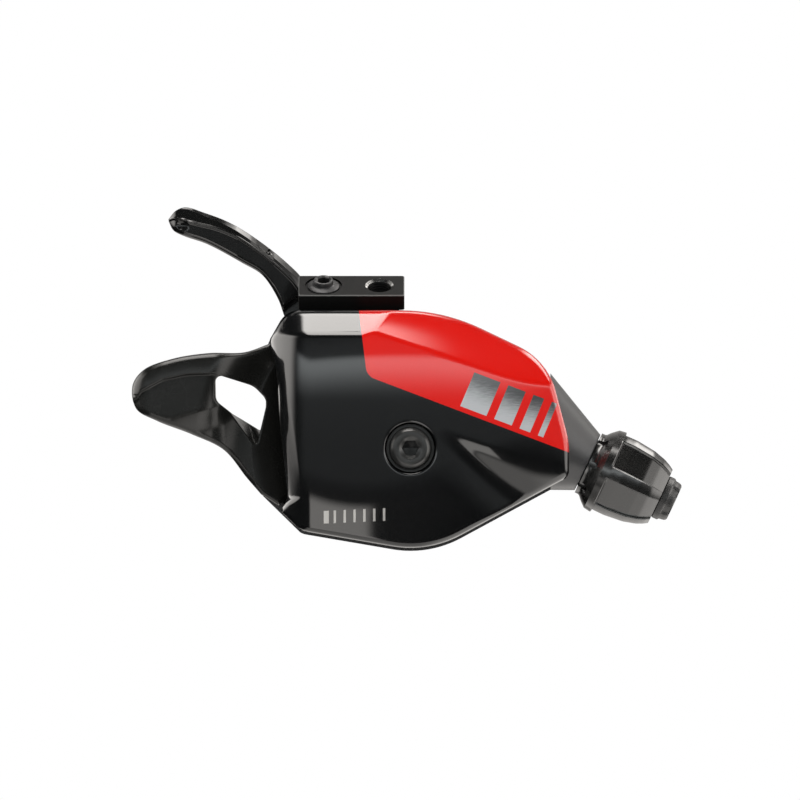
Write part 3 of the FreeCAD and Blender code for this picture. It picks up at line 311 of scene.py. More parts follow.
@dataclass(frozen=True)
class GrainedFinish:
    """Moulded plastic or anodised alloy: fine grain, slight cloudiness, paler edges where rubbed."""

    name: str
    colour: Colour
    edge_colour: Colour = (0.05, 0.05, 0.05)
    roughness: float = 0.42
    spread: float = 0.10
    grain_mm: float = 0.16
    grain_depth_mm: float = 0.012
    specular: float = 0.5
    rub: float = 0.0
    metallic: float = 0.0
    cloud_mm: float = 6.0
    shade: float = 0.78
    grain_share: float = 0.5

    def build(self) -> Material:
        """Make the material.

        Returns:
            The finished material.
        """
        paint = Paint(self.name)
        cloud = paint.noise(self.cloud_mm, 4.0)
        grain = paint.noise(self.grain_mm, 2.0)
        base = paint.mix(cloud, shaded(self.colour, self.shade), self.colour)
        if self.rub:
            rub = paint.edges() * paint.noise(1.4, 3.0).ramp(0.35, 0.7)
            base = paint.mix(rub * self.rub, base, self.edge_colour)
        rough = cloud * self.spread + grain * (self.spread * self.grain_share)
        return paint.surface(
            Base_Color=base, Roughness=rough + (self.roughness - self.spread * 0.7),
            Metallic=self.metallic, Specular_IOR_Level=self.specular,
            Normal=paint.bump(grain, self.grain_depth_mm),
        )


@dataclass(frozen=True)
class TurnedFinish:
    """Lathe-turned metal: fine rings round an axis that runs through a point, with painted shade in the socket
    behind the face.
    """

    name: str
    colour: Colour
    centre_mm: Point2
    ring_mm: float = 0.09
    roughness: float = 0.26
    metallic: float = 1.0
    face_mm: float = -12.5
    socket_r: float = 1.7
    painted_socket_shade: Colour = (0.001, 0.001, 0.001)

    def build(self) -> Material:
        """Make the material.

        Returns:
            The finished material.
        """
        paint = Paint(self.name)
        x, y, z = paint.axes_mm()
        along = x - self.centre_mm[0]
        up = z - self.centre_mm[1]
        distance = (along * along + up * up).power(0.5)
        rings = (distance * (2 * math.pi / self.ring_mm)).sine()
        oil = paint.noise(1.5, 4.0)
        base = paint.mix(oil, shaded(self.colour, 0.85), self.colour)
        # painted shade: the hexagon socket deeper than the face is darkened almost to black
        painted_socket_shade = (y - self.face_mm).ramp(0.25, 0.6) * distance.ramp(self.socket_r, self.socket_r - 0.1)
        base = paint.mix(painted_socket_shade * 0.92, base, self.painted_socket_shade)
        rough = oil * 0.06 + (self.roughness - 0.03)
        height = rings * 0.5 + 0.5
        return paint.surface(
            Base_Color=base, Roughness=rough, Metallic=self.metallic,
            Normal=paint.bump(height, 0.003),
        )


@dataclass(frozen=True)
class SteelFinish:
    """Stamped or drawn steel with a plated skin: faint rolling marks and stains."""

    name: str
    colour: Colour
    roughness: float = 0.3
    rolling: Sequence[float] = (1, 1, 12)

    def build(self) -> Material:
        """Make the material.

        Returns:
            The finished material.
        """
        paint = Paint(self.name)
        streak = paint.noise(1.2, 3.0, self.rolling)
        stain = paint.noise(3.0, 5.0)
        base = paint.mix(stain, shaded(self.colour, 0.72), self.colour)
        rough = streak * 0.12 + stain * 0.1 + (self.roughness - 0.1)
        return paint.surface(
            Base_Color=base, Roughness=rough, Metallic=1.0, Normal=paint.bump(streak, 0.006),
        )


@dataclass(frozen=True)
class CoverFinish:
    """Gloss black shell with a red field, slanted silver bars painted darker towards their top edge, and a row of
    ticks.
    """

    black: Colour = (0.0038, 0.0040, 0.0042)
    red: Colour = (0.60, 0.006, 0.003)
    silver: Colour = (0.62, 0.62, 0.63)
    field_left_top: Point2 = (1.45, -5.4)
    field_left_low: Point2 = (2.75, -15.9)
    field_slope: float = -0.3787
    field_low: Point2 = (3.9, -16.6)
    bar_slope: float = 0.42
    bars: tuple[Point2, ...] = ((17.2, 5.4), (24.2, 3.6), (29.4, 2.2), (33.2, 1.1))
    tick_count: int = 7
    tick_left: float = -4.9
    tick_pitch: float = 1.75
    tick_wide: float = 0.42
    first_wide: float = 0.9
    tick_low: float = -42.4
    tick_high: float = -40.2
    tick_rise: float = 0.045
    tick_colour: Colour = (0.36, 0.35, 0.33)
    field_corner_r: float = 1.2
    bar_low: float = 0.95
    bar_high: float = 7.85

    def build(self) -> Material:
        """Make the material.

        Returns:
            The finished material.
        """
        paint = Paint("cover_gloss")
        x, y, z = paint.axes_mm()
        field = self._field(x, z)
        bars = self._bars(x, z) * field
        ticks = self._ticks(x, z)
        cloud = paint.noise(7.0, 4.0)
        peel = paint.noise(0.9, 2.0)
        fleck = paint.cells(0.09).ramp(0.32, 0.12)
        dust = paint.noise(0.35, 3.0).ramp(0.60, 0.74)
        black = paint.mix(cloud, self.black, shaded(self.black, 1.5))
        red = paint.mix(fleck * 0.35, self.red, shaded(self.red, 1.35))
        brushed = paint.noise(0.5, 4.0, (0.35, 1.0, 4.0))
        # painted shade: each silver bar runs from bright at its foot to dark at its top, broken up by brushed
        # streaks
        painted_bar_shade_and_brushing = (self._above_field_foot(x, z) + brushed * 3.0).ramp(3.2, 9.0)
        silver = paint.mix(painted_bar_shade_and_brushing, self.silver, shaded(self.silver, 0.14))
        base = paint.mix(field, black, red)
        base = paint.mix(bars, base, silver)
        base = paint.mix(ticks, base, self.tick_colour)
        rough = dust * 0.05 + cloud * 0.05 + 0.22 + bars * 0.06
        height = peel * 0.75 + dust * 0.25
        return paint.surface(
            Base_Color=base, Roughness=rough, Metallic=bars * 0.9, Coat_Weight=1.0,
            Coat_Roughness=0.06, Coat_IOR=1.5, Specular_IOR_Level=0.08,
            Normal=paint.bump(height, 0.006, 0.6),
        )

    def _above_field_foot(self, x: Value, z: Value) -> Value:
        """Height above the slanted edge of the red field."""
        return z - (x - self.field_low[0]) * self.field_slope - self.field_low[1]

    def _field(self, x: Value, z: Value) -> Value:
        """Red field: right of a nearly upright edge and above a slanted one, corner rounded.

        Args:
            x: position along x, in millimetres.
            z: position along z, in millimetres.

        Returns:
            A value from 0 to 1.
        """
        top, foot = self.field_left_top, self.field_left_low
        left = x - (z - top[1]) * ((foot[0] - top[0]) / (foot[1] - top[1])) - top[0]
        low = self._above_field_foot(x, z) * math.cos(math.atan(self.field_slope))
        radius = self.field_corner_r
        gap_left = (radius - left).larger(0.0)
        gap_low = (radius - low).larger(0.0)
        inside = radius - (gap_left * gap_left + gap_low * gap_low).power(0.5)
        return inside.ramp(-0.03, 0.03)

    def _bars(self, x: Value, z: Value) -> Value:
        """Slanted silver bars across the lower half of the red field.

        Args:
            x: position along x, in millimetres.
            z: position along z, in millimetres.

        Returns:
            A value from 0 to 1.
        """
        low = self._above_field_foot(x, z)
        within = low.ramp(self.bar_low - 0.05, self.bar_low) * low.ramp(self.bar_high + 0.05, self.bar_high)
        lean = x + (z - PIVOT_MM[1]) * -self.bar_slope
        total: Optional[Value] = None
        for start, wide in self.bars:
            left = start - 1.0
            bar = (lean - left).ramp(0.0, 0.05) * (lean - (left + wide)).ramp(0.05, 0.0)
            total = bar if total is None else total + bar
        return total * within

    def _ticks(self, x: Value, z: Value) -> Value:
        """Row of plain index ticks on the lower face, the first one wider.

        Args:
            x: position along x, in millimetres.
            z: position along z, in millimetres.

        Returns:
            A value from 0 to 1.
        """
        local = x - self.tick_left
        step = local.wrap(self.tick_pitch)
        mark = step.ramp(0.0, 0.04) * step.ramp(self.tick_wide + 0.04, self.tick_wide)
        end = self.tick_pitch * self.tick_count - 0.6
        span = local.ramp(-0.02, 0.0) * local.ramp(end, end - 0.1)
        first = local.ramp(-0.02, 0.02) * local.ramp(self.first_wide + 0.02, self.first_wide - 0.02)
        rise, low, high = z + local * -self.tick_rise, self.tick_low, self.tick_high
        tall = rise.ramp(low - 0.05, low) * rise.ramp(high + 0.05, high)
        return (mark * span).larger(first) * tall


class Slot(Enum):
    """Material slots of the record, by what they are used for."""

    COVER = "cover_gloss"
    BASE = "base_plastic"
    BOLT = "bolt_steel"
    STEEL = "plain_steel"
    SPRING = "spring_steel"
    BLOCK = "block_black"
    SPOOL = "spool_plastic"
    LEVER = "lever_black"
    SEAT = "seat_black"
    KNOB = "knob_grey"
    STEM = "stem_black"


# --- the frame's own places ---
JOINTS = {joint["name"]: joint for joint in frame["joints"]}
MOUNTS = {mount["name"]: mount for mount in frame["record"]["mounts"]}
PIVOT = Vector(JOINTS["pull_lever_pivot"]["pos_m"])
PIVOT_MM = (PIVOT.x / MM, PIVOT.z / MM)
PAD_NORMAL = Vector(MOUNTS["clamp_pad"]["axis"])
ADJUSTER_AXIS = Vector(JOINTS["adjuster_turn"]["axis"])
ADJUSTER_FOOT = Vector(JOINTS["adjuster_turn"]["pos_m"])
FRONT_TURN = 90.0  # degrees round the adjuster at which a lathed piece faces the front


# --- flat geometry, in millimetres ---
def rounded_outline(corners: Sequence[Corner], steps: int = 10) -> Array:
    """Sample a closed outline of straight edges and tangent arcs.

    Args:
        corners: (x, z, radius) of each corner, in order.
        steps: number of pieces in each arc.

    Returns:
        The points, one (x, z) row each.
    """
    points = []
    for i, (x, z, radius) in enumerate(corners):
        here = Vector((x, z))
        before = (Vector(corners[i - 1][:2]) - here).normalized()
        after = (Vector(corners[(i + 1) % len(corners)][:2]) - here).normalized()
        half = before.angle(after) / 2
        reach = radius / math.tan(half)
        centre = here + (before + after).normalized() * (radius / math.sin(half))
        entry = here + before * reach - centre
        leave = here + after * reach - centre
        turn = entry.angle_signed(leave)
        for k in range(steps + 1):
            share = Matrix.Rotation(-turn * k / steps, 2) @ entry
            points.append(centre + share)
    return np.array([(p.x, p.y) for p in points])


def smooth_path(points: Sequence[Point2], count: int) -> Array:
    """Evenly spaced points on a smooth open curve through the given ones.

    Args:
        points: (x, z) points on the curve.
        count: number of points wanted.

    Returns:
        The points, one row each.
    """
    given = np.array(points, float)
    ends = np.vstack([2 * given[0] - given[1], given, 2 * given[-1] - given[-2]])
    dense = []
    for i in range(1, len(ends) - 2):
        p0, p1, p2, p3 = ends[i - 1], ends[i], ends[i + 1], ends[i + 2]
        knots = [0.0]
        for a, b in ((p0, p1), (p1, p2), (p2, p3)):
            knots.append(knots[-1] + max(np.linalg.norm(b - a), 1e-6) ** 0.5)
        t0, t1, t2, t3 = knots
        for t in np.linspace(t1, t2, 24, endpoint=i == len(ends) - 3):
            a1 = (t1 - t) / (t1 - t0) * p0 + (t - t0) / (t1 - t0) * p1
            a2 = (t2 - t) / (t2 - t1) * p1 + (t - t1) / (t2 - t1) * p2
            a3 = (t3 - t) / (t3 - t2) * p2 + (t - t2) / (t3 - t2) * p3
            b1 = (t2 - t) / (t2 - t0) * a1 + (t - t0) / (t2 - t0) * a2
            b2 = (t3 - t) / (t3 - t1) * a2 + (t - t1) / (t3 - t1) * a3
            dense.append((t2 - t) / (t2 - t1) * b1 + (t - t1) / (t2 - t1) * b2)
    return even_spacing(np.array(dense), count, False)


def even_spacing(points: Array, count: int, closed: bool) -> Array:
    """Resample a polyline at equal distances.

    Args:
        points: the polyline.
        count: number of points wanted.
        closed: whether its end joins its start.

    Returns:
        The new points.
    """
    line = np.vstack([points, points[:1]]) if closed else points
    lengths = np.r_[0.0, np.cumsum(np.linalg.norm(np.diff(line, axis=0), axis=1))]
    wanted = np.linspace(0, lengths[-1], count, endpoint=not closed)
    return np.stack([np.interp(wanted, lengths, line[:, k]) for k in range(line.shape[1])], 1)


def by_direction(outline: Array, centre: Point2, angles: Array) -> Array:
    """Points of a closed outline in given directions from a centre that sees all of it.

    Args:
        outline: the closed outline.
        centre: the point that the directions start from.
        angles: directions in radians.

    Returns:
        One (x, z) row for each direction.
    """
    dense = even_spacing(outline, 6000, True)
    offset = dense - np.array(centre)
    around = np.arctan2(offset[:, 1], offset[:, 0]) % (2 * math.pi)
    order = np.argsort(around)
    around = around[order]
    around = np.r_[around[-1] - 2 * math.pi, around, around[0] + 2 * math.pi]
    found = []
    for k in range(2):
        column = dense[order, k]
        column = np.r_[column[-1], column, column[0]]
        found.append(np.interp(angles % (2 * math.pi), around, column))
    return np.stack(found, 1)


def distance_to(points: Array, outline: Array) -> Array:
    """Distance of each point from a closed polyline.

    Args:
        points: the points.
        outline: the polyline.

    Returns:
        One distance for each point.
    """
    start = outline
    edge = np.roll(outline, -1, 0) - start
    squared = np.maximum((edge ** 2).sum(1), 1e-12)
    best = np.full(len(points), 1e9)
    for a, e, s in zip(start, edge, squared):
        t = np.clip(((points - a) @ e) / s, 0, 1)
        best = np.minimum(best, np.linalg.norm(points - a - t[:, None] * e, axis=1))
    return best


def soft_min(a: Array, b: Array, blend: float) -> Array:
    """Smaller of two heights, with a rounded crease as wide as blend."""
    near = np.maximum(blend - np.abs(a - b), 0.0) / blend
    return np.minimum(a, b) - near * near * blend * 0.25


def smooth_step(value: Array, low: float, high: float) -> Array:
    """Smooth rise from 0 at low to 1 at high."""
    t = np.clip((value - low) / (high - low), 0, 1)
    return t * t * (3 - 2 * t)


def edge_drop(distance: Array, radius: float) -> Array:
    """How far a rounded edge falls below its face, by distance from the outline."""
    inward = radius - np.minimum(distance, radius)
    return radius - np.sqrt(np.maximum(radius ** 2 - inward ** 2, 0.0))


# --- meshes ---
def add_object(name: str, data: bpy.types.ID) -> Object:
    """New object in the scene.

    Args:
        name: the new object's name.
        data: its mesh, light or camera.

    Returns:
        The new object.
    """
    item = bpy.data.objects.new(name, data)
    bpy.context.scene.collection.objects.link(item)
    return item


def place_rows(flat: Array, y: Radius) -> Array:
    """Give (x, z) points their depth y."""
    depth = np.broadcast_to(y, (len(flat),))
    return np.stack([flat[:, 0], depth, flat[:, 1]], 1)


def skin(
    name: str, rows: Sequence[Array], loop: bool = False, caps: bool = False, sharp: float = 40.0,
) -> Object:
    """Mesh from closed rings of points.

    Args:
        name: the object's name.
        rows: rings with equally many (x, y, z) points in millimetres.
        loop: whether the last ring joins the first.
        caps: whether the first and last rings are closed with a face.
        sharp: angle in degrees above which an edge stays sharp.

    Returns:
        The new object, in metres.
    """
    count = len(rows[0])
    points = np.vstack(rows) * MM
    faces = []
    for r in range(len(rows) if loop else len(rows) - 1):
        a = r * count
        b = (r + 1) % len(rows) * count
        for i in range(count):
            j = (i + 1) % count
            faces.append((a + i, a + j, b + j, b + i))
    if caps:
        faces.append(tuple(range(count - 1, -1, -1)))
        last = (len(rows) - 1) * count
        faces.append(tuple(range(last, last + count)))
    mesh = bpy.data.meshes.new(name)
    mesh.from_pydata(points.tolist(), [], faces)
    mesh.validate()
    piece = add_object(name, mesh)
    face_outwards(mesh)
    smooth(piece, sharp)
    return piece


def face_outwards(mesh: bpy.types.Mesh) -> None:
    """Turn every face so that the closed mesh has a positive volume.

    Args:
        mesh: the closed mesh.
    """
    mesh.update()
    volume = 0.0
    for polygon in mesh.polygons:
        corners = [mesh.vertices[v].co for v in polygon.vertices]
        for k in range(1, len(corners) - 1):
            volume += corners[0].dot(corners[k].cross(corners[k + 1]))
    if volume < 0:
        mesh.flip_normals()


def smooth(piece: Object, sharp: float) -> None:
    """Shade smooth except at edges sharper than an angle in degrees.

    Args:
        piece: the object.
        sharp: angle in degrees above which an edge stays sharp.
    """
    mesh = piece.data
    mesh.polygons.foreach_set("use_smooth", [True] * len(mesh.polygons))
    mesh.set_sharp_from_angle(angle=math.radians(sharp))


def subtract(piece: Object, cutter: Object) -> None:
    """Cut one mesh out of another and remove the cutter.

    Args:
        piece: the object.
        cutter: the object that is cut away.
    """
    change = piece.modifiers.new("cut", "BOOLEAN")
    change.operation = "DIFFERENCE"
    change.solver = "EXACT"
    change.object = cutter
    bpy.context.view_layer.update()
    done = bpy.data.meshes.new_from_object(piece.evaluated_get(bpy.context.evaluated_depsgraph_get()))
    piece.modifiers.clear()
    piece.data = done
    bpy.data.objects.remove(cutter)


def ring_points(radius: Radius, count: int) -> Array:
    """Points on a circle, or on any outline given as a radius for each point."""
    angles = np.linspace(0, 2 * math.pi, count, endpoint=False)
    return np.stack([np.cos(angles) * radius, np.sin(angles) * radius], 1)


def hexagon_radius(across_flats: float, count: int) -> Array:
    """Radius of a hexagon at evenly spaced directions."""
    angles = np.linspace(0, 2 * math.pi, count, endpoint=False)
    return across_flats / 2 / np.cos((angles + math.pi / 6) % (math.pi / 3) - math.pi / 6)


@dataclass
class Lathe:
    """Rings stacked along an axis, each round, six-sided or of a free shape."""

    name: str
    foot: Vector
    axis: Vector
    count: int = 96

    def build(
        self, stations: Sequence[tuple[float, Radius]], loop: bool = False, sharp: float = 35.0,
    ) -> Object:
        """Make the piece.

        Args:
            stations: (length along the axis, radius or radii) of each ring, in millimetres.
            loop: whether the last ring joins the first, as on a sleeve. Otherwise the ends are closed.
            sharp: angle above which edges stay sharp.

        Returns:
            The new object.
        """
        axis = self.axis.normalized()
        side = axis.cross(Vector((0, 1, 0)))
        if side.length < 0.1:
            side = axis.cross(Vector((1, 0, 0)))
        side.normalize()
        other = axis.cross(side)
        foot = np.array(self.foot) / MM
        rows = []
        for length, radius in stations:
            flat = ring_points(radius, self.count)
            row = foot + np.outer(np.full(self.count, length), np.array(axis))
            row = row + np.outer(flat[:, 0], np.array(side)) + np.outer(flat[:, 1], np.array(other))
            rows.append(row)
        return skin(self.name, rows, loop, not loop, sharp)


def fit_out(piece: Object, body: str, material: Material, node: str = "") -> Object:
    """Dress a new piece and tie it to its body.

    Args:
        piece: the new object.
        body: the CAD body that it moves with.
        material: its material.
        node: the CAD node that it replaces, if any.

    Returns:
        The same object.
    """
    piece.data.materials.clear()
    piece.data.materials.append(material)
    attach(piece, body)
    if node:
        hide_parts(node)
    LOG.info("%s rides on %s", piece.name, body)
    return piece


class Part:
    """A visible piece that replaces one CAD node."""

    body = "housing"
    slot = Slot.COVER
    node = ""

    def shape(self) -> Object:
        """Make the undressed mesh."""
        raise NotImplementedError

    def build(self, material: Material) -> Object:
        """Make the piece, dress it and tie it to its body.

        Args:
            material: the piece's finish.

        Returns:
            The finished piece.
        """
        return fit_out(self.shape(), self.body, material, self.node)


# --- front cover ---
@dataclass
class FrontCover(Part):
    """Glossy shell with a domed face, chamfers along its top and sides and a bolt recess."""

    body = "housing"
    slot = Slot.COVER
    node = "front_cover"
    corners: Sequence[Corner] = (
        (-11.6, -4.48, 4.0), (-14.6, -9.75, 0.5), (-13.3, -15.7, 3.0), (-12.85, -24.0, 20.0),
        (-11.3, -37.8, 1.2), (-12.6, -40.25, 0.5), (-9.0, -43.7, 3.0), (13.8, -47.6, 19.0),
        (38.75, -34.1, 1.8), (38.75, -27.8, 15.0), (34.9, -13.33, 12.4), (16.35, -4.48, 33.0),
    )
    seam: Sequence[Point2] = ((-14.6, -9.7), (-13.1, -15.7), (-12.6, -23.0), (-11.1, -37.8), (-12.7, -39.7))
    ridge: tuple[Point2, Point2] = ((3.0, -7.9), (36.3, -19.8))
    lower_crease: tuple[Point2, Point2] = ((-5.5, -38.4), (11.4, -35.2))
    right_crease: tuple[Point2, Point2] = ((19.8, -27.5), (38.4, -33.0))
    wall: float = 1.2
    recess_r: float = 4.45
    cup_r: float = 5.8
    floor_thick: float = 0.7
    floor_drop: float = 2.3
    hole_r: float = 2.15
    edge_r: float = 0.9
    recess_lip: Sequence[float] = (0.0, 0.05, 0.14, 0.28, 0.5, 0.8)
    near_edge: Sequence[float] = (1.5, 1.15, 0.85, 0.62, 0.44, 0.3, 0.18, 0.09, 0.03, 0.0)
    dome_centre: Point2 = (9.0, -26.0)
    dome_curve: float = 0.0011
    brow_z: float = -20.5
    brow_curve: float = 0.0075
    top_z: float = -8.8
    top_slope: float = 0.85
    top_spread: float = 0.35
    ridge_slope: float = 0.40
    ridge_curve: float = 0.020
    left_drop: float = 4.4
    left_slope: float = 1.75
    left_curl: float = 0.10
    lower_slope: float = 0.17
    right_curve: float = 0.011
    right_slope: float = 0.42
    side_x: float = 17.0
    side_slope: float = 0.25
    columns: int = 480
    inner_rings: int = 86

    def shape(self) -> Object:
        """Make the shell.

        Returns:
            The new object.
        """
        low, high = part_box("front_cover")
        front, rim = low.y / MM, high.y / MM
        floor = front + self.floor_drop
        outline = even_spacing(rounded_outline(self.corners), self.columns, True)
        centre = np.array(PIVOT_MM)
        reach = np.linalg.norm(outline - centre, axis=1)
        unit = (outline - centre) / reach[:, None]

        def at(radius: Radius) -> Array:
            """Ring of (x, z) points round the pivot."""
            return centre + unit * np.broadcast_to(radius, reach.shape)[:, None]

        recess = self.recess_r
        rows = [place_rows(at(self.hole_r), floor), place_rows(at(recess - 0.3), floor)]
        rows += [place_rows(at(recess), floor - 0.3), place_rows(at(recess), front + 0.5)]
        for out in self.recess_lip:
            flat = at(recess + out)
            drop = edge_drop(np.full(len(flat), out), 0.4)
            rows.append(place_rows(flat, rim - self.height(flat, front, rim) + drop))
        start = recess + self.recess_lip[-1]
        steps = np.arange(1, self.inner_rings) / self.inner_rings
        radii = [start + (reach - self.near_edge[0] - start) * share for share in steps]
        radii += [reach - inward for inward in self.near_edge]
        rows += [self._top_row(at(radius), outline, front, rim) for radius in radii]
        rows += [place_rows(outline, rim - 2.0), place_rows(outline, rim - 0.25)]
        inner = at(reach - self.wall)
        rows += [place_rows(at(reach - 0.25), rim), place_rows(inner, rim)]
        rows.append(place_rows(inner, rim - self.height(outline, front, rim) + self.wall + self.edge_r))
        rows.append(place_rows(at(self.cup_r), front + self.wall + 0.4))
        rows += [place_rows(at(radius), floor + self.floor_thick) for radius in (self.cup_r, self.hole_r)]
        return skin("cover_shell", rows, loop=True, sharp=55)

    def _top_row(self, flat: Array, outline: Array, front: float, rim: float) -> Array:
        """Ring on the outer face, rounded near the outline."""
        near = distance_to(flat, outline[::3])
        return place_rows(flat, rim - self.height(flat, front, rim) + edge_drop(near, self.edge_r))

    def height(self, flat: Array, front: float, rim: float) -> Array:
        """Height of the outer face above the rim.

        Args:
            flat: (x, z) points.
            front: depth of the foremost point.
            rim: depth of the rim.

        Returns:
            One height for each point.
        """
        x, z = flat[:, 0], flat[:, 1]
        full = rim - front
        dome = full - self.dome_curve * ((x - self.dome_centre[0]) ** 2 + (z - self.dome_centre[1]) ** 2)
        dome = dome - self.brow_curve * np.maximum(z - self.brow_z, 0.0) ** 2
        top = dome - self.top_slope * (z - self.top_z)
        top = top + self.top_spread * np.maximum(x - 2.0, 0.0)
        above = self._beyond(flat, self.ridge, up=True)
        ridge = dome - 0.02 - self.ridge_slope * above - self.ridge_curve * np.maximum(above, 0) ** 2
        seam_x = np.interp(-z, [-p[1] for p in self.seam], [p[0] for p in self.seam])
        left = full - self.left_drop + self.left_slope * (x - seam_x)
        lower = full - 0.25 - self.lower_slope * self._beyond(flat, self.lower_crease, up=False)
        lower = lower - 0.004 * np.maximum(7.0 - x, 0.0) ** 2 - 0.002 * np.maximum(x - 8.0, 0.0) ** 2
        right = full - self.right_curve * np.maximum(x - 24.0, 0) ** 2 - 0.2
        fall = right - 0.1 - self.right_slope * self._beyond(flat, self.right_crease, up=False)
        side = full - 0.4 - self.side_slope * (x - self.side_x)
        corner = -soft_min(-fall, -side, 0.9)
        height = dome
        for other, blend in ((right, 1.2), (ridge, 0.22), (top, 0.45), (lower, 0.5), (corner, 0.6)):
            height = soft_min(height, other, blend)
        height = height - self.left_curl * np.maximum(-6.8 - x, 0.0) ** 2
        return soft_min(height, left, 1.2)

    @staticmethod
    def _beyond(flat: Array, line: tuple[Point2, Point2], up: bool) -> Array:
        """Signed distance of points from a line, positive above it or below it.

        Args:
            flat: (x, z) points.
            line: two points on the line.
            up: whether the points above the line are the positive ones.

        Returns:
            One distance for each point.
        """
        start, end = np.array(line[0]), np.array(line[1])
        along = (end - start) / np.linalg.norm(end - start)
        normal = np.array((-along[1], along[0])) * (1.0 if up else -1.0)
        return (flat - start) @ normal


# --- release lever ---
@dataclass
class ReleaseLever(Part):
    """Dished paddle with a raised rim and a window, on a band that runs in under the cover."""

    body = "release_lever"
    slot = Slot.LEVER
    node = "release_lever"
    edge: Sequence[Point2] = (
        (-14.46, -10.36), (-19.1, -11.95), (-25.4, -12.1), (-31.8, -13.1), (-37.0, -15.1),
        (-39.0, -17.9), (-38.3, -22.05), (-34.7, -24.15), (-28.4, -26.6), (-22.7, -29.4),
        (-18.7, -34.3), (-16.1, -37.3),
    )
    root: Sequence[Point2] = ((-13.0, -39.3), (-10.2, -37.2), (-9.8, -24.0), (-9.9, -15.0), (-12.9, -10.4))
    window: Sequence[Corner] = (
        (-24.3, -15.8, 1.0), (-17.4, -18.0, 4.0), (-15.0, -20.5, 2.2), (-17.0, -29.0, 0.6),
        (-21.6, -22.6, 2.0), (-24.2, -20.6, 1.8),
    )
    window_behind: Sequence[Corner] = (
        (-24.3, -15.8, 1.0), (-17.4, -18.0, 4.0), (-15.0, -20.5, 2.2), (-16.0, -26.1, 0.5),
        (-21.3, -22.9, 0.8), (-24.2, -20.6, 1.8),
    )
    crease_x: Sequence[float] = (-39.4, -37.5, -33.6, -29.4, -24.5, -14.0)
    crease_z: Sequence[float] = (-21.5, -18.8, -16.7, -15.8, -15.6, -17.2)
    fold_x: Sequence[float] = (-39.0, -37.3, -32.1, -23.8, -18.0)
    fold_z: Sequence[float] = (-22.4, -22.9, -23.5, -21.4, -17.5)
    hub: Point2 = (-19.3, -21.6)
    crest: float = 8.95
    rim_slope: float = 0.06
    rim_curve: float = 0.040
    dish: float = 0.75
    flank_slope: float = 0.14
    flank_twist: float = 0.13
    tip_curl: float = 0.22
    under_cover_slope: float = 0.40
    band_front: float = 2.75
    band_back: float = 2.5
    blade_back: float = 3.3
    forward_r: float = 28.3
    crest_r: float = 38.5
    edge_r: float = 1.0
    columns: int = 480
    rings: int = 60

    def shape(self) -> Object:
        """Make the paddle.

        Returns:
            The new object.
        """
        rough = np.vstack([smooth_path(self.edge, 220), np.array(self.root)])
        outline = even_spacing(rough, self.columns, True)
        offset = outline - np.array(self.hub)
        angles = np.arctan2(offset[:, 1], offset[:, 0])
        hole = by_direction(rounded_outline(self.window), self.hub, angles)
        behind = by_direction(rounded_outline(self.window_behind), self.hub, angles)
        front_rows, back_rows = [], []
        shares = [0.0, 0.008, 0.02, 0.04] + [0.04 + 0.89 * k / self.rings for k in range(1, self.rings)]
        shares += [0.93, 0.965, 0.988, 1.0]
        for share in shares:
            flat = hole + (outline - hole) * share
            to_edge = distance_to(flat, outline[::3])
            to_hole = distance_to(flat, hole[::3])
            front_rows.append(place_rows(flat, self._front(flat, to_edge, to_hole)))
            far = behind + (outline - behind) * share
            back_rows.append(place_rows(far, self._back(far, to_edge, to_hole)))
        return skin("release_paddle", front_rows + back_rows[::-1], loop=True, sharp=50)

    def _front(self, flat: Array, to_edge: Array, to_hole: Array) -> Array:
        """Depth of the thumb side: raised rim, sunk panel, folded lower flank and the strut.

        Args:
            flat: (x, z) points.
            to_edge: distance of each point from the outline.
            to_hole: distance of each point from the window.

        Returns:
            One depth for each point.
        """
        x, z = flat[:, 0], flat[:, 1]
        above = z - np.interp(x, self.crease_x, self.crease_z)
        below = np.interp(x, self.fold_x, self.fold_z) - z
        rim = self.crest - self.rim_slope * above - self.rim_curve * np.maximum(above, 0) ** 2
        sunk = self.dish * smooth_step(above, 0.12, -0.45) * smooth_step(x, -22.5, -25.0)
        panel = self.crest - sunk + 0.012 * np.minimum(above, 0)
        height = np.where(above > 0, rim, panel)
        twist = self.flank_twist * np.maximum(x + 38.0, 0.0) * smooth_step(below, -0.4, 4.5)
        flank = self.crest - sunk - 0.02 - self.flank_slope * below - twist
        height = soft_min(height, flank, 0.12)
        height = height - self.tip_curl * np.maximum(-35.6 - x, 0.0) ** 1.7
        reach = np.linalg.norm(flat - np.array(PIVOT_MM), axis=1)
        share = smooth_step(reach, self.forward_r, self.crest_r)
        height = self.band_front + (height - self.band_front) * share
        height = height - self.under_cover_slope * np.maximum(self.forward_r - reach, 0.0)
        return -height + edge_drop(to_edge, self.edge_r) + edge_drop(to_hole, 0.3)

    def _back(self, flat: Array, to_edge: Array, to_hole: Array) -> Array:
        """Depth of the far side.

        Args:
            flat: (x, z) points.
            to_edge: distance of each point from the outline.
            to_hole: distance of each point from the window.

        Returns:
            One depth for each point.
        """
        x = flat[:, 0]
        reach = np.linalg.norm(flat - np.array(PIVOT_MM), axis=1)
        blade = self.blade_back - smooth_step(x, -34.0, -39.0) * 2.2 - edge_drop(to_edge, self.edge_r)
        band = self.band_back - edge_drop(to_edge, 0.5)
        share = smooth_step(reach, self.forward_r, self.forward_r + 1.5)
        return band + (blade - band) * share - edge_drop(to_hole, 0.3)


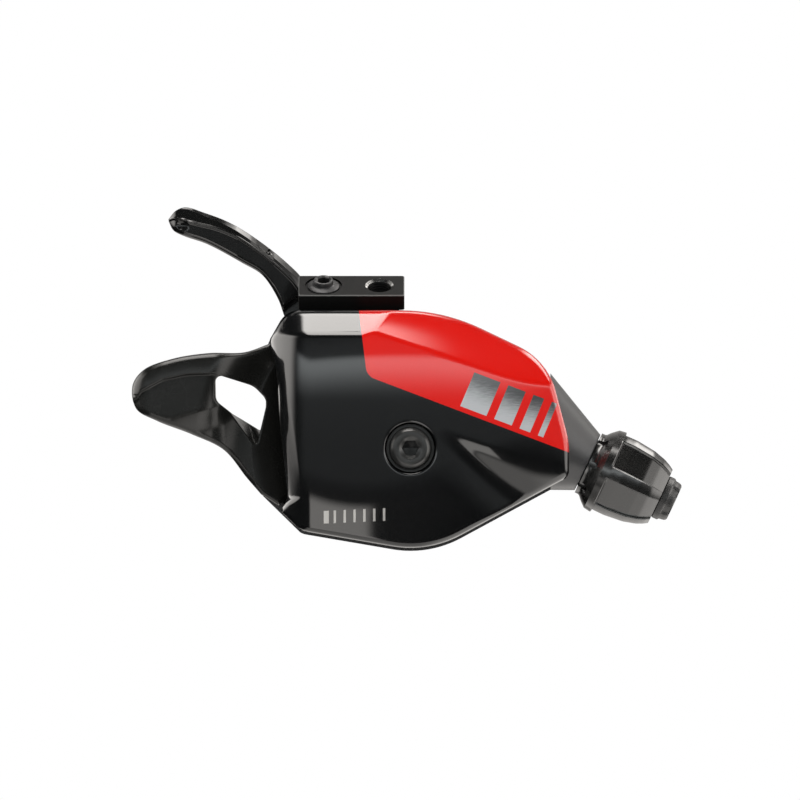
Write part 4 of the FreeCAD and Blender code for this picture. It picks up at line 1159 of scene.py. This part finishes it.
@dataclass
class LeverRivets(Part):
    """Two countersunk rivets, flush with the band of the release lever."""

    body = "release_lever"
    slot = Slot.STEEL
    node = "release_rivets"
    centres: Sequence[Point2] = ((-12.0, -20.0), (-11.6, -31.0))
    body_r: float = 1.1
    flush: float = 0.4
    count: int = 64

    def shape(self) -> Object:
        """Make the rivets as one mesh.

        Returns:
            The new object.
        """
        _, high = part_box("release_rivets")
        back = high.y / MM
        rivets = []
        for x, z in self.centres:
            lathe = Lathe("rivet", Vector((x * MM, 0, z * MM)), Vector((0, 1, 0)), self.count)
            stations = [(self.flush, self.body_r), (back - 0.1, self.body_r), (back, self.body_r - 0.1)]
            rivets.append(lathe.build(stations))
        for other in rivets[1:]:
            joined = bmesh.new()
            joined.from_mesh(rivets[0].data)
            joined.from_mesh(other.data)
            joined.to_mesh(rivets[0].data)
            joined.free()
            bpy.data.objects.remove(other)
        return rivets[0]


# --- thumb lever ---
@dataclass
class ThumbLever(Part):
    """Curved lever with a bright top strip, a ridge along its front, a slot and a dimpled tip."""

    body = "pull_lever"
    slot = Slot.LEVER
    node = "pull_lever"
    upper: Sequence[Point2] = (
        (-32.75, 11.9), (-31.5, 13.35), (-29.7, 14.0), (-26.4, 13.05), (-22.1, 11.4), (-17.3, 8.55),
        (-11.6, 4.1), (-8.6, 0.9), (-6.6, -4.2), (-3.8, -8.4), (1.2, -13.8),
    )
    lower: Sequence[Point2] = (
        (-32.75, 11.5), (-31.9, 9.9), (-30.0, 8.9), (-25.95, 7.5), (-19.6, 4.1), (-16.0, 1.9),
        (-13.2, -2.3), (-11.95, -5.7), (-10.2, -9.6), (-7.2, -13.6), (-3.2, -17.4),
    )
    front_x: Sequence[float] = (-33.0, -32.5, -31.6, -30.2, -28.5, -20.5, -18.0, -14.0, -10.0, -7.0)
    front_y: Sequence[float] = (7.8, 6.4, 5.1, 4.4, 4.25, 4.35, 4.9, 6.25, 6.95, 7.4)
    back_x: Sequence[float] = (-33.0, -32.0, -30.5, -28.5, -21.5, -17.0, -13.5, -11.0)
    back_y: Sequence[float] = (12.6, 14.3, 15.7, 16.3, 16.2, 14.8, 12.8, 12.3)
    strip_x: Sequence[float] = (-31.5, -28.0, -22.0, -16.0, -9.0)
    strip_wide: Sequence[float] = (0.10, 0.40, 0.70, 0.85, 0.80)
    ridge_x: Sequence[float] = (-32.0, -29.3, -25.0, -20.0, -15.0, -10.0)
    ridge_off: Sequence[float] = (1.6, 2.5, 2.0, 1.6, 1.6, 1.6)
    dimple: Point2 = (-30.2, 10.8)
    dimple_r: float = 1.0
    dimple_deep: float = 0.45
    ridge_slope: float = 0.36
    strip_slope: float = 1.1
    notch_deep: float = 0.9
    edge_r: float = 0.9
    notch: tuple[float, float] = (-16.9, -14.7)
    clear_r: float = 33.0
    arm_r: float = 30.3
    arm_front: float = 8.25
    slot_centre: Point2 = (-16.1, 6.8)
    slot_slope: float = 38.0
    slot_long: float = 6.2
    slot_wide: float = 3.0
    finish: GrainedFinish = GrainedFinish(
        "thumb_lever_gloss", (0.0065, 0.0066, 0.0064), (0.03, 0.03, 0.03), 0.14, 0.04, 0.3, 0.001, rub=0.1,
    )
    sections: int = 150
    across: int = 80

    def shape(self) -> Object:
        """Make the lever.

        Returns:
            The new object.
        """
        upper = smooth_path(self.upper, self.sections)
        lower = smooth_path(self.lower, self.sections)
        share = np.linspace(0, 1, self.across)
        rows = []
        for top, foot in zip(upper, lower):
            wide = float(np.linalg.norm(foot - top))
            flat = top + (foot - top) * share[:, None]
            front = self._front(flat, share * wide, (1 - share) * wide)
            back = self._back(flat, share * wide, (1 - share) * wide)
            near = np.stack([flat[:, 0], front, flat[:, 1]], 1)
            far = np.stack([flat[:, 0], np.maximum(back, front + 0.3), flat[:, 1]], 1)
            rows.append(np.vstack([near, far[::-1]]))
        piece = skin("thumb_lever", rows, caps=True, sharp=45)
        subtract(piece, self._slot())
        smooth(piece, 45)
        return piece

    def _slot(self) -> Object:
        """Round-ended bar that cuts the slot square to the thumb face.

        Returns:
            The cutter.
        """
        _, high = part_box("pull_lever")
        half = (self.slot_long - self.slot_wide) / 2
        radius = self.slot_wide / 2
        corners = [(half + radius, -radius, radius), (half + radius, radius, radius)]
        corners += [(-half - radius, radius, radius), (-half - radius, -radius, radius)]
        flat = rounded_outline(corners, 12)
        rows = [np.stack([flat[:, 0], flat[:, 1], np.full(len(flat), lift)], 1) for lift in (-8.0, 8.0)]
        cutter = skin("slot", rows, caps=True)
        turn = Matrix.Rotation(math.radians(self.slot_slope), 4, "Y")
        middle = Vector((self.slot_centre[0] * MM, (4.2 * MM + high.y) / 2, self.slot_centre[1] * MM))
        cutter.data.transform(Matrix.Translation(middle) @ turn)
        return cutter

    def _front(self, flat: Array, down: Array, up: Array) -> Array:
        """Depth of the front side, from the distances to the upper and the lower edge.

        Args:
            flat: (x, z) points.
            down: distance of each point from the upper edge.
            up: distance of each point from the lower edge.

        Returns:
            One depth for each point.
        """
        x = flat[:, 0]
        scale = np.clip((down + up) / 4.5, 0.05, 1.0)
        ridge = np.interp(x, self.ridge_x, self.ridge_off) * scale
        strip = np.interp(x, self.strip_x, self.strip_wide) * scale
        relief = self.ridge_slope * np.maximum(ridge - down, 0.0)
        relief = relief + 0.10 * smooth_step(np.abs(down - ridge), 0.05, 0.30)
        relief = relief + self.strip_slope * np.maximum(strip - down, 0.0)
        relief = relief + 0.22 * smooth_step(down - ridge, 0.0, 0.45)
        relief = relief + 0.04 * np.maximum(down - ridge - 0.45, 0.0) + edge_drop(up, self.edge_r)
        notch = smooth_step(x, *self.notch) * smooth_step(x, self.notch[1] + 0.15, self.notch[1])
        relief = relief + self.notch_deep * smooth_step(down, strip + 0.25, strip) * notch
        off = np.linalg.norm(flat - np.array(self.dimple), axis=1)
        relief = relief + self.dimple_deep * np.maximum(1 - (off / self.dimple_r) ** 2, 0.0)
        plan = np.interp(x, self.front_x, self.front_y) + relief
        arm = self.arm_front
        reach = np.linalg.norm(flat - np.array(PIVOT_MM), axis=1)
        return plan + (arm - plan) * smooth_step(reach, self.clear_r + 1.2, self.clear_r + 0.2)

    def _back(self, flat: Array, down: Array, up: Array) -> Array:
        """Depth of the back side.

        Args:
            flat: (x, z) points.
            down: distance of each point from the upper edge.
            up: distance of each point from the lower edge.

        Returns:
            One depth for each point.
        """
        hub_low, hub_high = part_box("pull_lever_hub")
        reach = np.linalg.norm(flat - np.array(PIVOT_MM), axis=1)
        plan = np.interp(flat[:, 0], self.back_x, self.back_y) - edge_drop(np.minimum(down, up), 1.0)
        link = hub_high.y / MM - 0.02
        root = hub_low.y / MM - 0.01
        back = np.where(reach > self.clear_r, np.maximum(plan, link), link)
        return np.where(reach > self.arm_r, back, root)


# --- barrel adjuster ---
@dataclass
class AdjusterKnob(Part):
    """Barrel with six flats between narrow ribs, and slots where it meets the neck."""

    body = "adjuster"
    slot = Slot.KNOB
    node = "adjuster_knob"
    skin_line: Sequence[Point2] = (
        (-0.3, 5.84), (0.5, 5.84), (1.1, 6.55), (2.3, 7.6), (4.0, 7.84), (6.0, 7.87), (9.6, 7.45),
        (11.8, 6.8), (13.0, 6.2), (13.8, 5.65),
    )
    bore_line: Sequence[Point2] = (
        (13.8, 3.6), (8.9, 3.6), (8.6, 3.06), (2.8, 3.06), (2.8, 4.7), (-0.3, 4.7),
    )
    flats: int = 6
    flat_start: float = 3.7
    flat_half: float = 21.5
    flat_depth: float = 0.95
    slots: int = 8
    slot_wide: float = 1.1
    slot_floor: float = 5.45
    slot_long: float = 1.0
    count: int = 720

    def shape(self) -> Object:
        """Make the knob.

        Returns:
            The new object.
        """
        lathe = Lathe("adjuster_barrel", ADJUSTER_FOOT, ADJUSTER_AXIS, self.count)
        stations = [(length, self._radii(length)) for length in self._lengths()]
        stations += self.bore_line
        return lathe.build(stations, loop=True, sharp=32)

    def _lengths(self) -> list[float]:
        """Stations along the barrel, close together at its steps.

        Returns:
            The lengths, in order.
        """
        steps = [-0.3, -0.1, 0.3, 0.62, 0.98, 1.0, 1.3, 1.6, 1.9, 2.3, 2.7, 3.1, 3.4]
        steps += [self.flat_start - 0.15, self.flat_start - 0.05, self.flat_start + 0.08]
        steps += [self.flat_start + 0.2 + k * 0.38 for k in range(25)]
        return steps + [13.3, 13.55, 13.7, 13.8]

    def _radii(self, length: float) -> Array:
        """Radius all round at one station.

        Args:
            length: distance along the axis, in millimetres.

        Returns:
            One radius for each direction.
        """
        lengths = [p[0] for p in self.skin_line]
        skin_r = float(np.interp(length, lengths, [p[1] for p in self.skin_line]))
        turn = np.linspace(0, 360, self.count, endpoint=False)
        pitch = 360 / self.flats
        off = (turn - FRONT_TURN) % pitch - pitch / 2
        inside = smooth_step(np.abs(off), self.flat_half + 0.9, self.flat_half - 0.9)
        start = float(smooth_step(np.array([length]), self.flat_start - 0.1, self.flat_start + 0.15)[0])
        floor = (skin_r - self.flat_depth) / np.cos(np.radians(off))
        radius = skin_r + (np.minimum(floor, skin_r) - skin_r) * inside * start
        if length > self.slot_long:
            return radius
        half = 180 / self.slots
        notch = np.abs((turn - FRONT_TURN + half) % (2 * half) - half)
        return np.where(np.radians(notch) * skin_r < self.slot_wide / 2, self.slot_floor, radius)


@dataclass
class HousingSeat(Part):
    """Ferrule at the knob's end, with a notched collar and the bore for the cable housing."""

    body = "cable_stop"
    slot = Slot.SEAT
    node = "housing_seat"
    start: float = 8.85
    collar_start: float = 13.86
    end: float = 16.55
    body_r: float = 3.5
    collar_r: float = 4.0
    bore_r: float = 2.55
    bore_deep: float = 6.4
    cable_r: float = 1.2
    crown: Sequence[Point2] = ((15.05, 0.05), (15.3, 0.3), (15.7, 0.42), (16.1, 0.55), (16.4, 0.86))
    notches: int = 6
    notch_half: float = 14.0
    count: int = 360

    def shape(self) -> Object:
        """Make the ferrule.

        Returns:
            The new object.
        """
        lathe = Lathe("housing_ferrule", ADJUSTER_FOOT, ADJUSTER_AXIS, self.count)
        stations = [(self.start, self.cable_r), (self.start, self.body_r - 0.2)]
        stations += [(self.start + 0.2, self.body_r)]
        stations += [(self.collar_start, self.body_r), (self.collar_start, self.collar_r - 0.15)]
        stations += [(self.collar_start + 0.15, self.collar_r), (14.9, self.collar_r)]
        for length, inward in self.crown:
            stations.append((length, self._notched(self.collar_r - inward * 0.55, inward)))
        stations += [(self.end, self.collar_r - 0.81), (self.end, self.bore_r + 0.35)]
        stations += [(self.end - 0.35, self.bore_r), (self.end - self.bore_deep, self.bore_r)]
        stations += [(self.end - self.bore_deep, self.cable_r)]
        return lathe.build(stations, loop=True, sharp=30)

    def _notched(self, radius: float, deep: float) -> Array:
        """Radius all round, less at the notches.

        Args:
            radius: radius without notches.
            deep: how deep the notches are.

        Returns:
            One radius for each direction.
        """
        turn = np.linspace(0, 360, self.count, endpoint=False)
        pitch = 360 / self.notches
        off = np.abs((turn - FRONT_TURN) % pitch - pitch / 2)
        return radius - smooth_step(off, self.notch_half + 2, self.notch_half - 2) * min(deep, 0.45)


# --- bolts and the clamp block ---
@dataclass
class CoverBolt(Part):
    """Low bolt with a chamfered rim, a countersunk face and a hexagon socket."""

    body = "housing"
    slot = Slot.BOLT
    node = "cover_bolt"
    head_r: float = 3.78
    head_tall: float = 2.0
    shank_r: float = 2.0
    socket: float = 2.5
    socket_deep: float = 1.35
    face_line: Sequence[Point2] = (
        (0.2, 1.66), (0.06, 1.92), (0.02, 2.02), (0.0, 2.12), (0.0, 2.9), (0.03, 3.02), (0.12, 3.14),
        (0.55, 3.6), (0.68, 3.7),
    )
    count: int = 192

    def shape(self) -> Object:
        """Make the bolt.

        Returns:
            The new object.
        """
        low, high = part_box("cover_bolt")
        long = (high.y - low.y) / MM
        foot = Vector((PIVOT.x, low.y, PIVOT.z))
        lathe = Lathe("pivot_bolt", foot, Vector((0, 1, 0)), self.count)
        floor = self.socket_deep
        hexagon = hexagon_radius(self.socket, self.count)
        stations = [(floor + 0.25, 0.02), (floor, hexagon * 0.8), (floor, hexagon), (0.42, hexagon)]
        stations += [(0.3, hexagon + 0.08), *self.face_line, (0.85, self.head_r)]
        stations += [(self.head_tall - 0.1, self.head_r), (self.head_tall, self.head_r - 0.1)]
        stations += [(self.head_tall, self.shank_r), (long - 0.3, self.shank_r), (long, self.shank_r - 0.3)]
        return lathe.build(stations, sharp=28)


@dataclass
class ClampBlock:
    """Flat block with two counterbored holes, one of them tapped, and its flanged screw."""

    wide: float = 18.9
    deep: float = 7.4
    thick: float = 3.06
    bevel: float = 0.16
    corner_r: float = 0.28
    lead: float = 0.42
    pitch: float = 0.5
    tapped_r: float = 2.1
    spot_r: float = 3.3
    spot_deep: float = 0.35
    screw_room: float = 1.56
    screw_socket: float = 2.0
    screw_line: Sequence[Point2] = (
        (1.55, 1.42), (1.55, 1.55), (1.5, 1.68), (1.3, 1.75), (0.78, 1.75), (0.66, 1.85), (0.55, 2.1),
        (0.42, 2.66), (0.3, 2.82), (0.12, 2.85), (0.0, 2.78), (0.0, 1.5), (-8.0, 1.5),
    )
    count: int = 96

    def build(self, block: Material, steel: Material) -> None:
        """Make the block and its screw and dress them.

        Args:
            block: the block's finish.
            steel: the screw's finish.
        """
        hole = Vector(MOUNTS["clamp_bolt_hole"]["pos_m"])
        along = hole.x / MM
        self._block(block, along)
        self._thread(block, along)
        self._screw(steel, -along)

    def _lathe(self, name: str, along: float) -> Lathe:
        """Lathe that stands square to the pad at a place along the block."""
        return Lathe(name, Vector((along * MM, 0, 0)), Vector((0, 0, 1)), self.count)

    def _turn(self) -> Matrix:
        """Rotation from the block's own axes, with z as the pad's normal."""
        side = Vector((1, 0, 0))
        return Matrix((side, PAD_NORMAL.cross(side), PAD_NORMAL)).transposed().to_4x4()

    def _block(self, material: Material, along: float) -> None:
        """Bevelled block with its holes.

        Args:
            material: the piece's finish.
            along: its place along the block, in millimetres.
        """
        half = (self.wide / 2, self.deep / 2)
        foot, bevel = -self.thick, self.bevel
        rows = []
        for lift, inset in ((foot, bevel), (foot + bevel, 0), (-bevel, 0), (0, bevel)):
            corners = [
                (sx * (half[0] - inset), sy * (half[1] - inset), self.corner_r)
                for sx, sy in ((1, 1), (-1, 1), (-1, -1), (1, -1))
            ]
            flat = rounded_outline(corners, 4)
            rows.append(np.stack([flat[:, 0], flat[:, 1], np.full(len(flat), lift)], 1))
        piece = skin("clamp_block", rows, caps=True, sharp=25)
        lead = self.lead
        tapped = [(foot - 1, self.tapped_r), (-lead, self.tapped_r), (1.0, self.tapped_r + (lead + 1.0))]
        room = [(foot - 1, self.screw_room), (-0.0, self.screw_room), (1.0, self.screw_room)]
        spot = [(-self.spot_deep, self.spot_r), (1.0, self.spot_r)]
        for x, stations in ((along, tapped), (-along, room), (-along, spot)):
            subtract(piece, self._lathe("cut", x).build(stations))
        smooth(piece, 25)
        fit_out(piece, "housing", material, "mount_block")
        self._paint_edge_highlights(piece, along)
        piece.data.transform(self._turn())

    def _thread(self, material: Material, along: float) -> None:
        """Thread in the tapped hole.

        Args:
            material: the piece's finish.
            along: its place along the block, in millimetres.
        """
        foot = -self.thick + 0.15
        stations, low = [], foot
        while low < -0.6:
            stations += [(low, self.tapped_r + 0.02), (low + self.pitch / 2, self.tapped_r - 0.16)]
            low += self.pitch
        outside = self.tapped_r + 0.08
        stations += [(low, self.tapped_r + 0.02), (low, outside), (foot, outside)]
        ring = self._lathe("block_thread", along).build(stations, loop=True, sharp=20)
        ring.data.transform(self._turn())
        fit_out(ring, "housing", material)

    def _paint_edge_highlights(self, piece: Object, along: float) -> None:
        """Give the top bevels a much paler finish as a painted highlight, and the tapped hole's lead a bare one.

        Args:
            piece: the object.
            along: its place along the block, in millimetres.
        """
        # painted highlight: the top bevels get a pale grey far lighter than the black block
        painted_edge_highlight = GrainedFinish("block_edges", (0.11, 0.11, 0.105), roughness=0.35).build()
        bare = SteelFinish("block_bare_lead", (0.80, 0.80, 0.79), 0.2).build()
        piece.data.materials.append(painted_edge_highlight)
        piece.data.materials.append(bare)
        for face in piece.data.polygons:
            x, y, z = (part / MM for part in face.center)
            off = math.hypot(x - along, y)
            slanted = max(abs(part) for part in face.normal) < 0.9
            if slanted and off < self.tapped_r + 0.6 and z > -0.6:
                face.material_index = 2
            # the top outer bevels take the painted highlight
            elif slanted and z > -0.3 and max(abs(x) - self.wide / 2, abs(y) - self.deep / 2) > -0.3:
                face.material_index = 1

    def _screw(self, material: Material, along: float) -> None:
        """Screw with a broad flange and a raised, hollow head.

        Args:
            material: the piece's finish.
            along: its place along the block, in millimetres.
        """
        base = -self.spot_deep
        socket = hexagon_radius(self.screw_socket, self.count)
        stations = [(base + 0.35, 0.02), (base + 0.3, socket), (base + 1.3, socket)]
        stations += [(base + 1.42, socket + 0.14)]
        stations += [(base + lift, radius) for lift, radius in self.screw_line]
        stations += [(-self.thick - 5.5, 1.4)]
        piece = self._lathe("clamp_screw", along).build(stations, sharp=28)
        piece.data.transform(self._turn())
        fit_out(piece, "housing", material, "mount_screw")


# --- camera and light ---
@dataclass(frozen=True)
class SoftBox:
    """Rectangular light, placed from the point that it faces."""

    name: str
    offset: tuple[float, float, float]
    size: tuple[float, float]
    power: float
    colour: Colour = (1.0, 1.0, 1.0)


@dataclass
class Studio:
    """Pale floor, soft boxes and the camera."""

    distance: float = 3.0
    view_wide: float = 0.1429
    aim_side: float = -0.0012
    aim_up: float = -0.0038
    floor_drop: float = 0.0555
    floor_half: float = 0.35
    tent_r: float = 1.4
    tent_columns: int = 96
    tent_rows: int = 64
    world_light: float = 0.35
    boxes: Sequence[SoftBox] = (
        SoftBox("key_box", (-0.05, -0.35, 0.62), (0.62, 0.42), 3.3),
        SoftBox("left_box", (-0.62, -0.25, 0.10), (0.30, 0.60), 1.2, (0.97, 0.98, 1.0)),
        SoftBox("right_box", (0.62, -0.22, 0.05), (0.30, 0.60), 1.0, (1.0, 0.98, 0.96)),
        SoftBox("front_box", (0.10, -1.0, 0.45), (0.50, 0.35), 2.4),
    )

    def build(self) -> None:
        """Make the floor, the lights, the world and the camera."""
        low, high = CAD_BOX
        middle = (Vector(low) + Vector(high)) / 2
        aim = middle + Vector((self.aim_side, 0, self.aim_up))
        self._camera(aim)
        self._floor(low[2] - self.floor_drop)
        for box in self.boxes:
            self._lamp(box, aim)
        self._tent(aim)
        self._world()

    def _camera(self, aim: Vector) -> None:
        """Long lens straight in front.

        Args:
            aim: the point that the camera and the lamps face.
        """
        camera = bpy.data.cameras.new("camera")
        camera.sensor_fit = "HORIZONTAL"
        camera.lens = camera.sensor_width * self.distance / self.view_wide
        camera.clip_end = 20.0
        camera_object = add_object("camera", camera)
        camera_object.location = aim + Vector((0, -self.distance, 0))
        camera_object.rotation_euler = (math.pi / 2, 0, 0)
        bpy.context.scene.camera = camera_object

    def _floor(self, height: float) -> None:
        """Pale floor under the object.

        Args:
            height: level of the floor, in metres.
        """
        mesh = bpy.data.meshes.new("floor")
        half = self.floor_half
        corners = [(x * half, y * half, height) for x, y in ((-1, -1), (1, -1), (1, 1), (-1, 1))]
        mesh.from_pydata(corners, [], [(0, 1, 2, 3)])
        floor = add_object("floor", mesh)
        paint = Paint("floor_pale")
        tone = paint.mix(paint.noise(60.0, 4.0), (0.74, 0.74, 0.74), (0.80, 0.80, 0.79))
        floor.data.materials.append(paint.surface(Base_Color=tone, Roughness=0.7))
        floor.visible_glossy = False

    @staticmethod
    def _lamp(box: SoftBox, aim: Vector) -> None:
        """Rectangular soft box that faces the object.

        Args:
            box: the light to add.
            aim: the point that the camera and the lamps face.
        """
        light = bpy.data.lights.new(box.name, "AREA")
        light.shape = "RECTANGLE"
        light.size, light.size_y = box.size
        light.energy = box.power
        light.color = box.colour
        lamp = add_object(box.name, light)
        lamp.location = aim + Vector(box.offset)
        lamp.rotation_euler = (-Vector(box.offset)).to_track_quat("-Z", "Y").to_euler()
        lamp.visible_glossy = False

    def _tent(self, aim: Vector) -> None:
        """Half dome of cloth and dark cards that only reflections see.

        Args:
            aim: the point that the camera and the lamps face.
        """
        columns, rows = self.tent_columns, self.tent_rows
        points, faces = [], []
        for j in range(rows + 1):
            lift = math.radians(-88.0 + 176.0 * j / rows)
            for i in range(columns):
                turn = 2 * math.pi * i / columns
                points.append(tuple(aim + self.tent_r * Vector((
                    math.cos(lift) * math.sin(turn), -math.cos(lift) * math.cos(turn), math.sin(lift),
                ))))
        for j in range(rows):
            for i in range(columns):
                k = (i + 1) % columns
                a, b = j * columns, (j + 1) * columns
                faces.append((a + i, a + k, b + k, b + i))
        mesh = bpy.data.meshes.new("tent")
        mesh.from_pydata(points, [], faces)
        mesh.polygons.foreach_set("use_smooth", [True] * len(faces))
        tent = add_object("tent", mesh)
        for ray in ("camera", "diffuse", "transmission", "volume_scatter", "shadow"):
            setattr(tent, f"visible_{ray}", False)
        tent.data.materials.append(self._tent_cloth(aim))

    def _tent_cloth(self, aim: Vector) -> Material:
        """Glow of the tent by direction: overhead cloth, a front band, side cloths and dark cards.

        Args:
            aim: the point that the camera and the lamps face.

        Returns:
            The finished material.
        """
        paint = Paint("tent_cloth")
        x, y, z = paint.axes_mm()
        radius = self.tent_r / MM
        side = (x - aim.x / MM) / radius
        front = (aim.y / MM - y) / radius
        lift = (z - aim.z / MM) / radius

        def card(strength: float, *edges: tuple[Value, float, float]) -> Value:
            """Patch of glow, faded along each (direction, dark end, bright end).

            Args:
                strength: brightness inside the patch.
                *edges: where the patch fades.

            Returns:
                The glow.
            """
            glow: Optional[Value] = None
            for direction, dark, bright in edges:
                fade = direction.ramp(dark, bright)
                glow = fade if glow is None else glow * fade
            return glow * strength

        over = card(9.6, (lift, 0.8, 0.9), (side, 0.16, 0.04), (side, -0.42, -0.3), (front, -0.45, -0.25))
        shoulder = card(9.0, (lift, 0.62, 0.76), (side, 0.36, 0.46), (front, -0.7, -0.5), (front, 0.2, -0.1))
        sweep = card(7.0, (lift, 0.80, 0.87), (lift, 0.95, 0.90), (side, 0.27, 0.17), (side, 0.02, 0.12))
        band = card(2.6, (lift, 0.0, 0.17), (lift, 0.235, 0.18), (front, 0.3, 0.7))
        haze = card(0.25, (lift, -0.25, 0.10), (lift, 0.5, 0.3), (front, 0.5, 0.9))
        left = card(3.4, (side, -0.5, -0.7), (front, 0.45, 0.1), (lift, -0.15, 0.05), (lift, 0.6, 0.4))
        right = card(3.2, (side, 0.60, 0.80), (lift, -0.55, -0.30), (lift, 0.6, 0.4))
        low_left = card(
            2.9, (lift, -0.22, -0.31), (lift, -0.60, -0.50), (side, 0.015, -0.02), (side, -0.45, -0.30),
            (front, 0.1, 0.4),
        )
        low = card(1.0, (lift, -0.52, -0.64), (side, -0.62, -0.45)) * (side.ramp(0.1, 0.35) * 1.2 + 1.5)
        back = card(0.6, (front, -0.1, -0.4), (lift, 0.8, 0.7), (side, -0.6, -0.1))
        cool = band + haze
        warm = over + sweep + shoulder + left + right + low_left.larger(low) + back
        glow = paint.mix(warm / (cool + warm + 0.001), (0.94, 0.99, 1.0), (1.0, 0.965, 0.925))
        emission = paint.node("ShaderNodeEmission", None, {"Color": glow, "Strength": cool + warm})
        out = paint.node("ShaderNodeOutputMaterial")
        paint.tree.links.new(emission.outputs[0], out.inputs[0])
        return paint.material

    def _world(self) -> None:
        """White where the camera, glossy and transmission rays see it, grey as a light."""
        world = bpy.data.worlds.new("studio")
        world.use_nodes = True
        tree = world.node_tree
        background = tree.nodes["Background"]
        path = tree.nodes.new("ShaderNodeLightPath")
        seen = path.outputs["Is Camera Ray"]
        for ray in ("Is Transmission Ray", "Is Glossy Ray"):
            either = tree.nodes.new("ShaderNodeMath")
            either.operation = "MAXIMUM"
            tree.links.new(seen, either.inputs[0])
            tree.links.new(path.outputs[ray], either.inputs[1])
            seen = either.outputs[0]
        strength = tree.nodes.new("ShaderNodeMapRange")
        tree.links.new(seen, strength.inputs["Value"])
        strength.inputs["To Min"].default_value = self.world_light
        strength.inputs["To Max"].default_value = 1.0
        tree.links.new(strength.outputs[0], background.inputs["Strength"])
        background.inputs["Color"].default_value = (1, 1, 1, 1)
        bpy.context.scene.world = world
        bpy.context.scene.view_settings.view_transform = "Standard"


# --- carried-over nodes ---
def finishes() -> dict[Slot, Material]:
    """One material for each slot of the record.

    Returns:
        The materials by slot.
    """
    base = GrainedFinish("base_moulding", (0.030, 0.030, 0.031), roughness=0.36)
    block = GrainedFinish("block_anodised", (0.0045, 0.0045, 0.0044), roughness=0.40, specular=0.07)
    lever = GrainedFinish(
        "lever_moulding", (0.0085, 0.0086, 0.0078), (0.03, 0.03, 0.03), 0.26, grain_depth_mm=0.006,
        specular=0.30, rub=0.15,
    )
    seat = GrainedFinish("seat_moulding", (0.012, 0.012, 0.012), (0.06, 0.06, 0.06), rub=0.4)
    knob = GrainedFinish(
        "knob_anodised", (0.0085, 0.0085, 0.008), (0.05, 0.05, 0.05), 0.20, 0.06, 0.2, 0.002, 0.85, rub=0.3,
    )
    stem = GrainedFinish(
        "stem_anodised", (0.030, 0.030, 0.031), roughness=0.4, spread=0.12, grain_mm=0.12,
        grain_depth_mm=0.008, metallic=0.6, cloud_mm=5.0, shade=0.8, grain_share=0.6,
    )
    spool = GrainedFinish("spool_moulding", (0.42, 0.41, 0.38), roughness=0.5)
    return {
        Slot.COVER: CoverFinish().build(),
        Slot.BASE: base.build(),
        Slot.BOLT: TurnedFinish("bolt_turned", (0.036, 0.036, 0.035), PIVOT_MM, metallic=0.5).build(),
        Slot.STEEL: SteelFinish("plated_steel", (0.50, 0.49, 0.47)).build(),
        Slot.SPRING: SteelFinish("spring_steel_wire", (0.34, 0.34, 0.35), 0.34, (3, 3, 3)).build(),
        Slot.BLOCK: block.build(),
        Slot.SPOOL: spool.build(),
        Slot.LEVER: lever.build(),
        Slot.SEAT: seat.build(),
        Slot.KNOB: knob.build(),
        Slot.STEM: stem.build(),
    }


def dress_nodes(materials: dict[Slot, Material]) -> None:
    """Give each CAD node that stays the finish of its slot.

    Args:
        materials: one material for each slot.
    """
    for name, node in frame["nodes"].items():
        for index, old in enumerate(node.data.materials):
            key = old.name.split(".")[0] if old else ""
            node.data.materials[index] = materials[Slot(key)]
        smooth(node, 30)
        LOG.info("dressed %s", name)


def main() -> None:
    """Build and dress the shifter in order, then light it."""
    logging.basicConfig(level=logging.INFO, format="%(name)s: %(message)s")
    materials = finishes()
    dress_nodes(materials)
    FrontCover().build(materials[Slot.COVER])
    ReleaseLever().build(materials[Slot.LEVER])
    LeverRivets().build(materials[Slot.STEEL])
    thumb_lever = ThumbLever()
    thumb_lever.build(thumb_lever.finish.build())
    AdjusterKnob().build(materials[Slot.KNOB])
    HousingSeat().build(materials[Slot.SEAT])
    CoverBolt().build(materials[Slot.BOLT])
    ClampBlock().build(materials[Slot.BLOCK], materials[Slot.STEM])
    Studio().build()


if __name__ == "__main__":
    main()
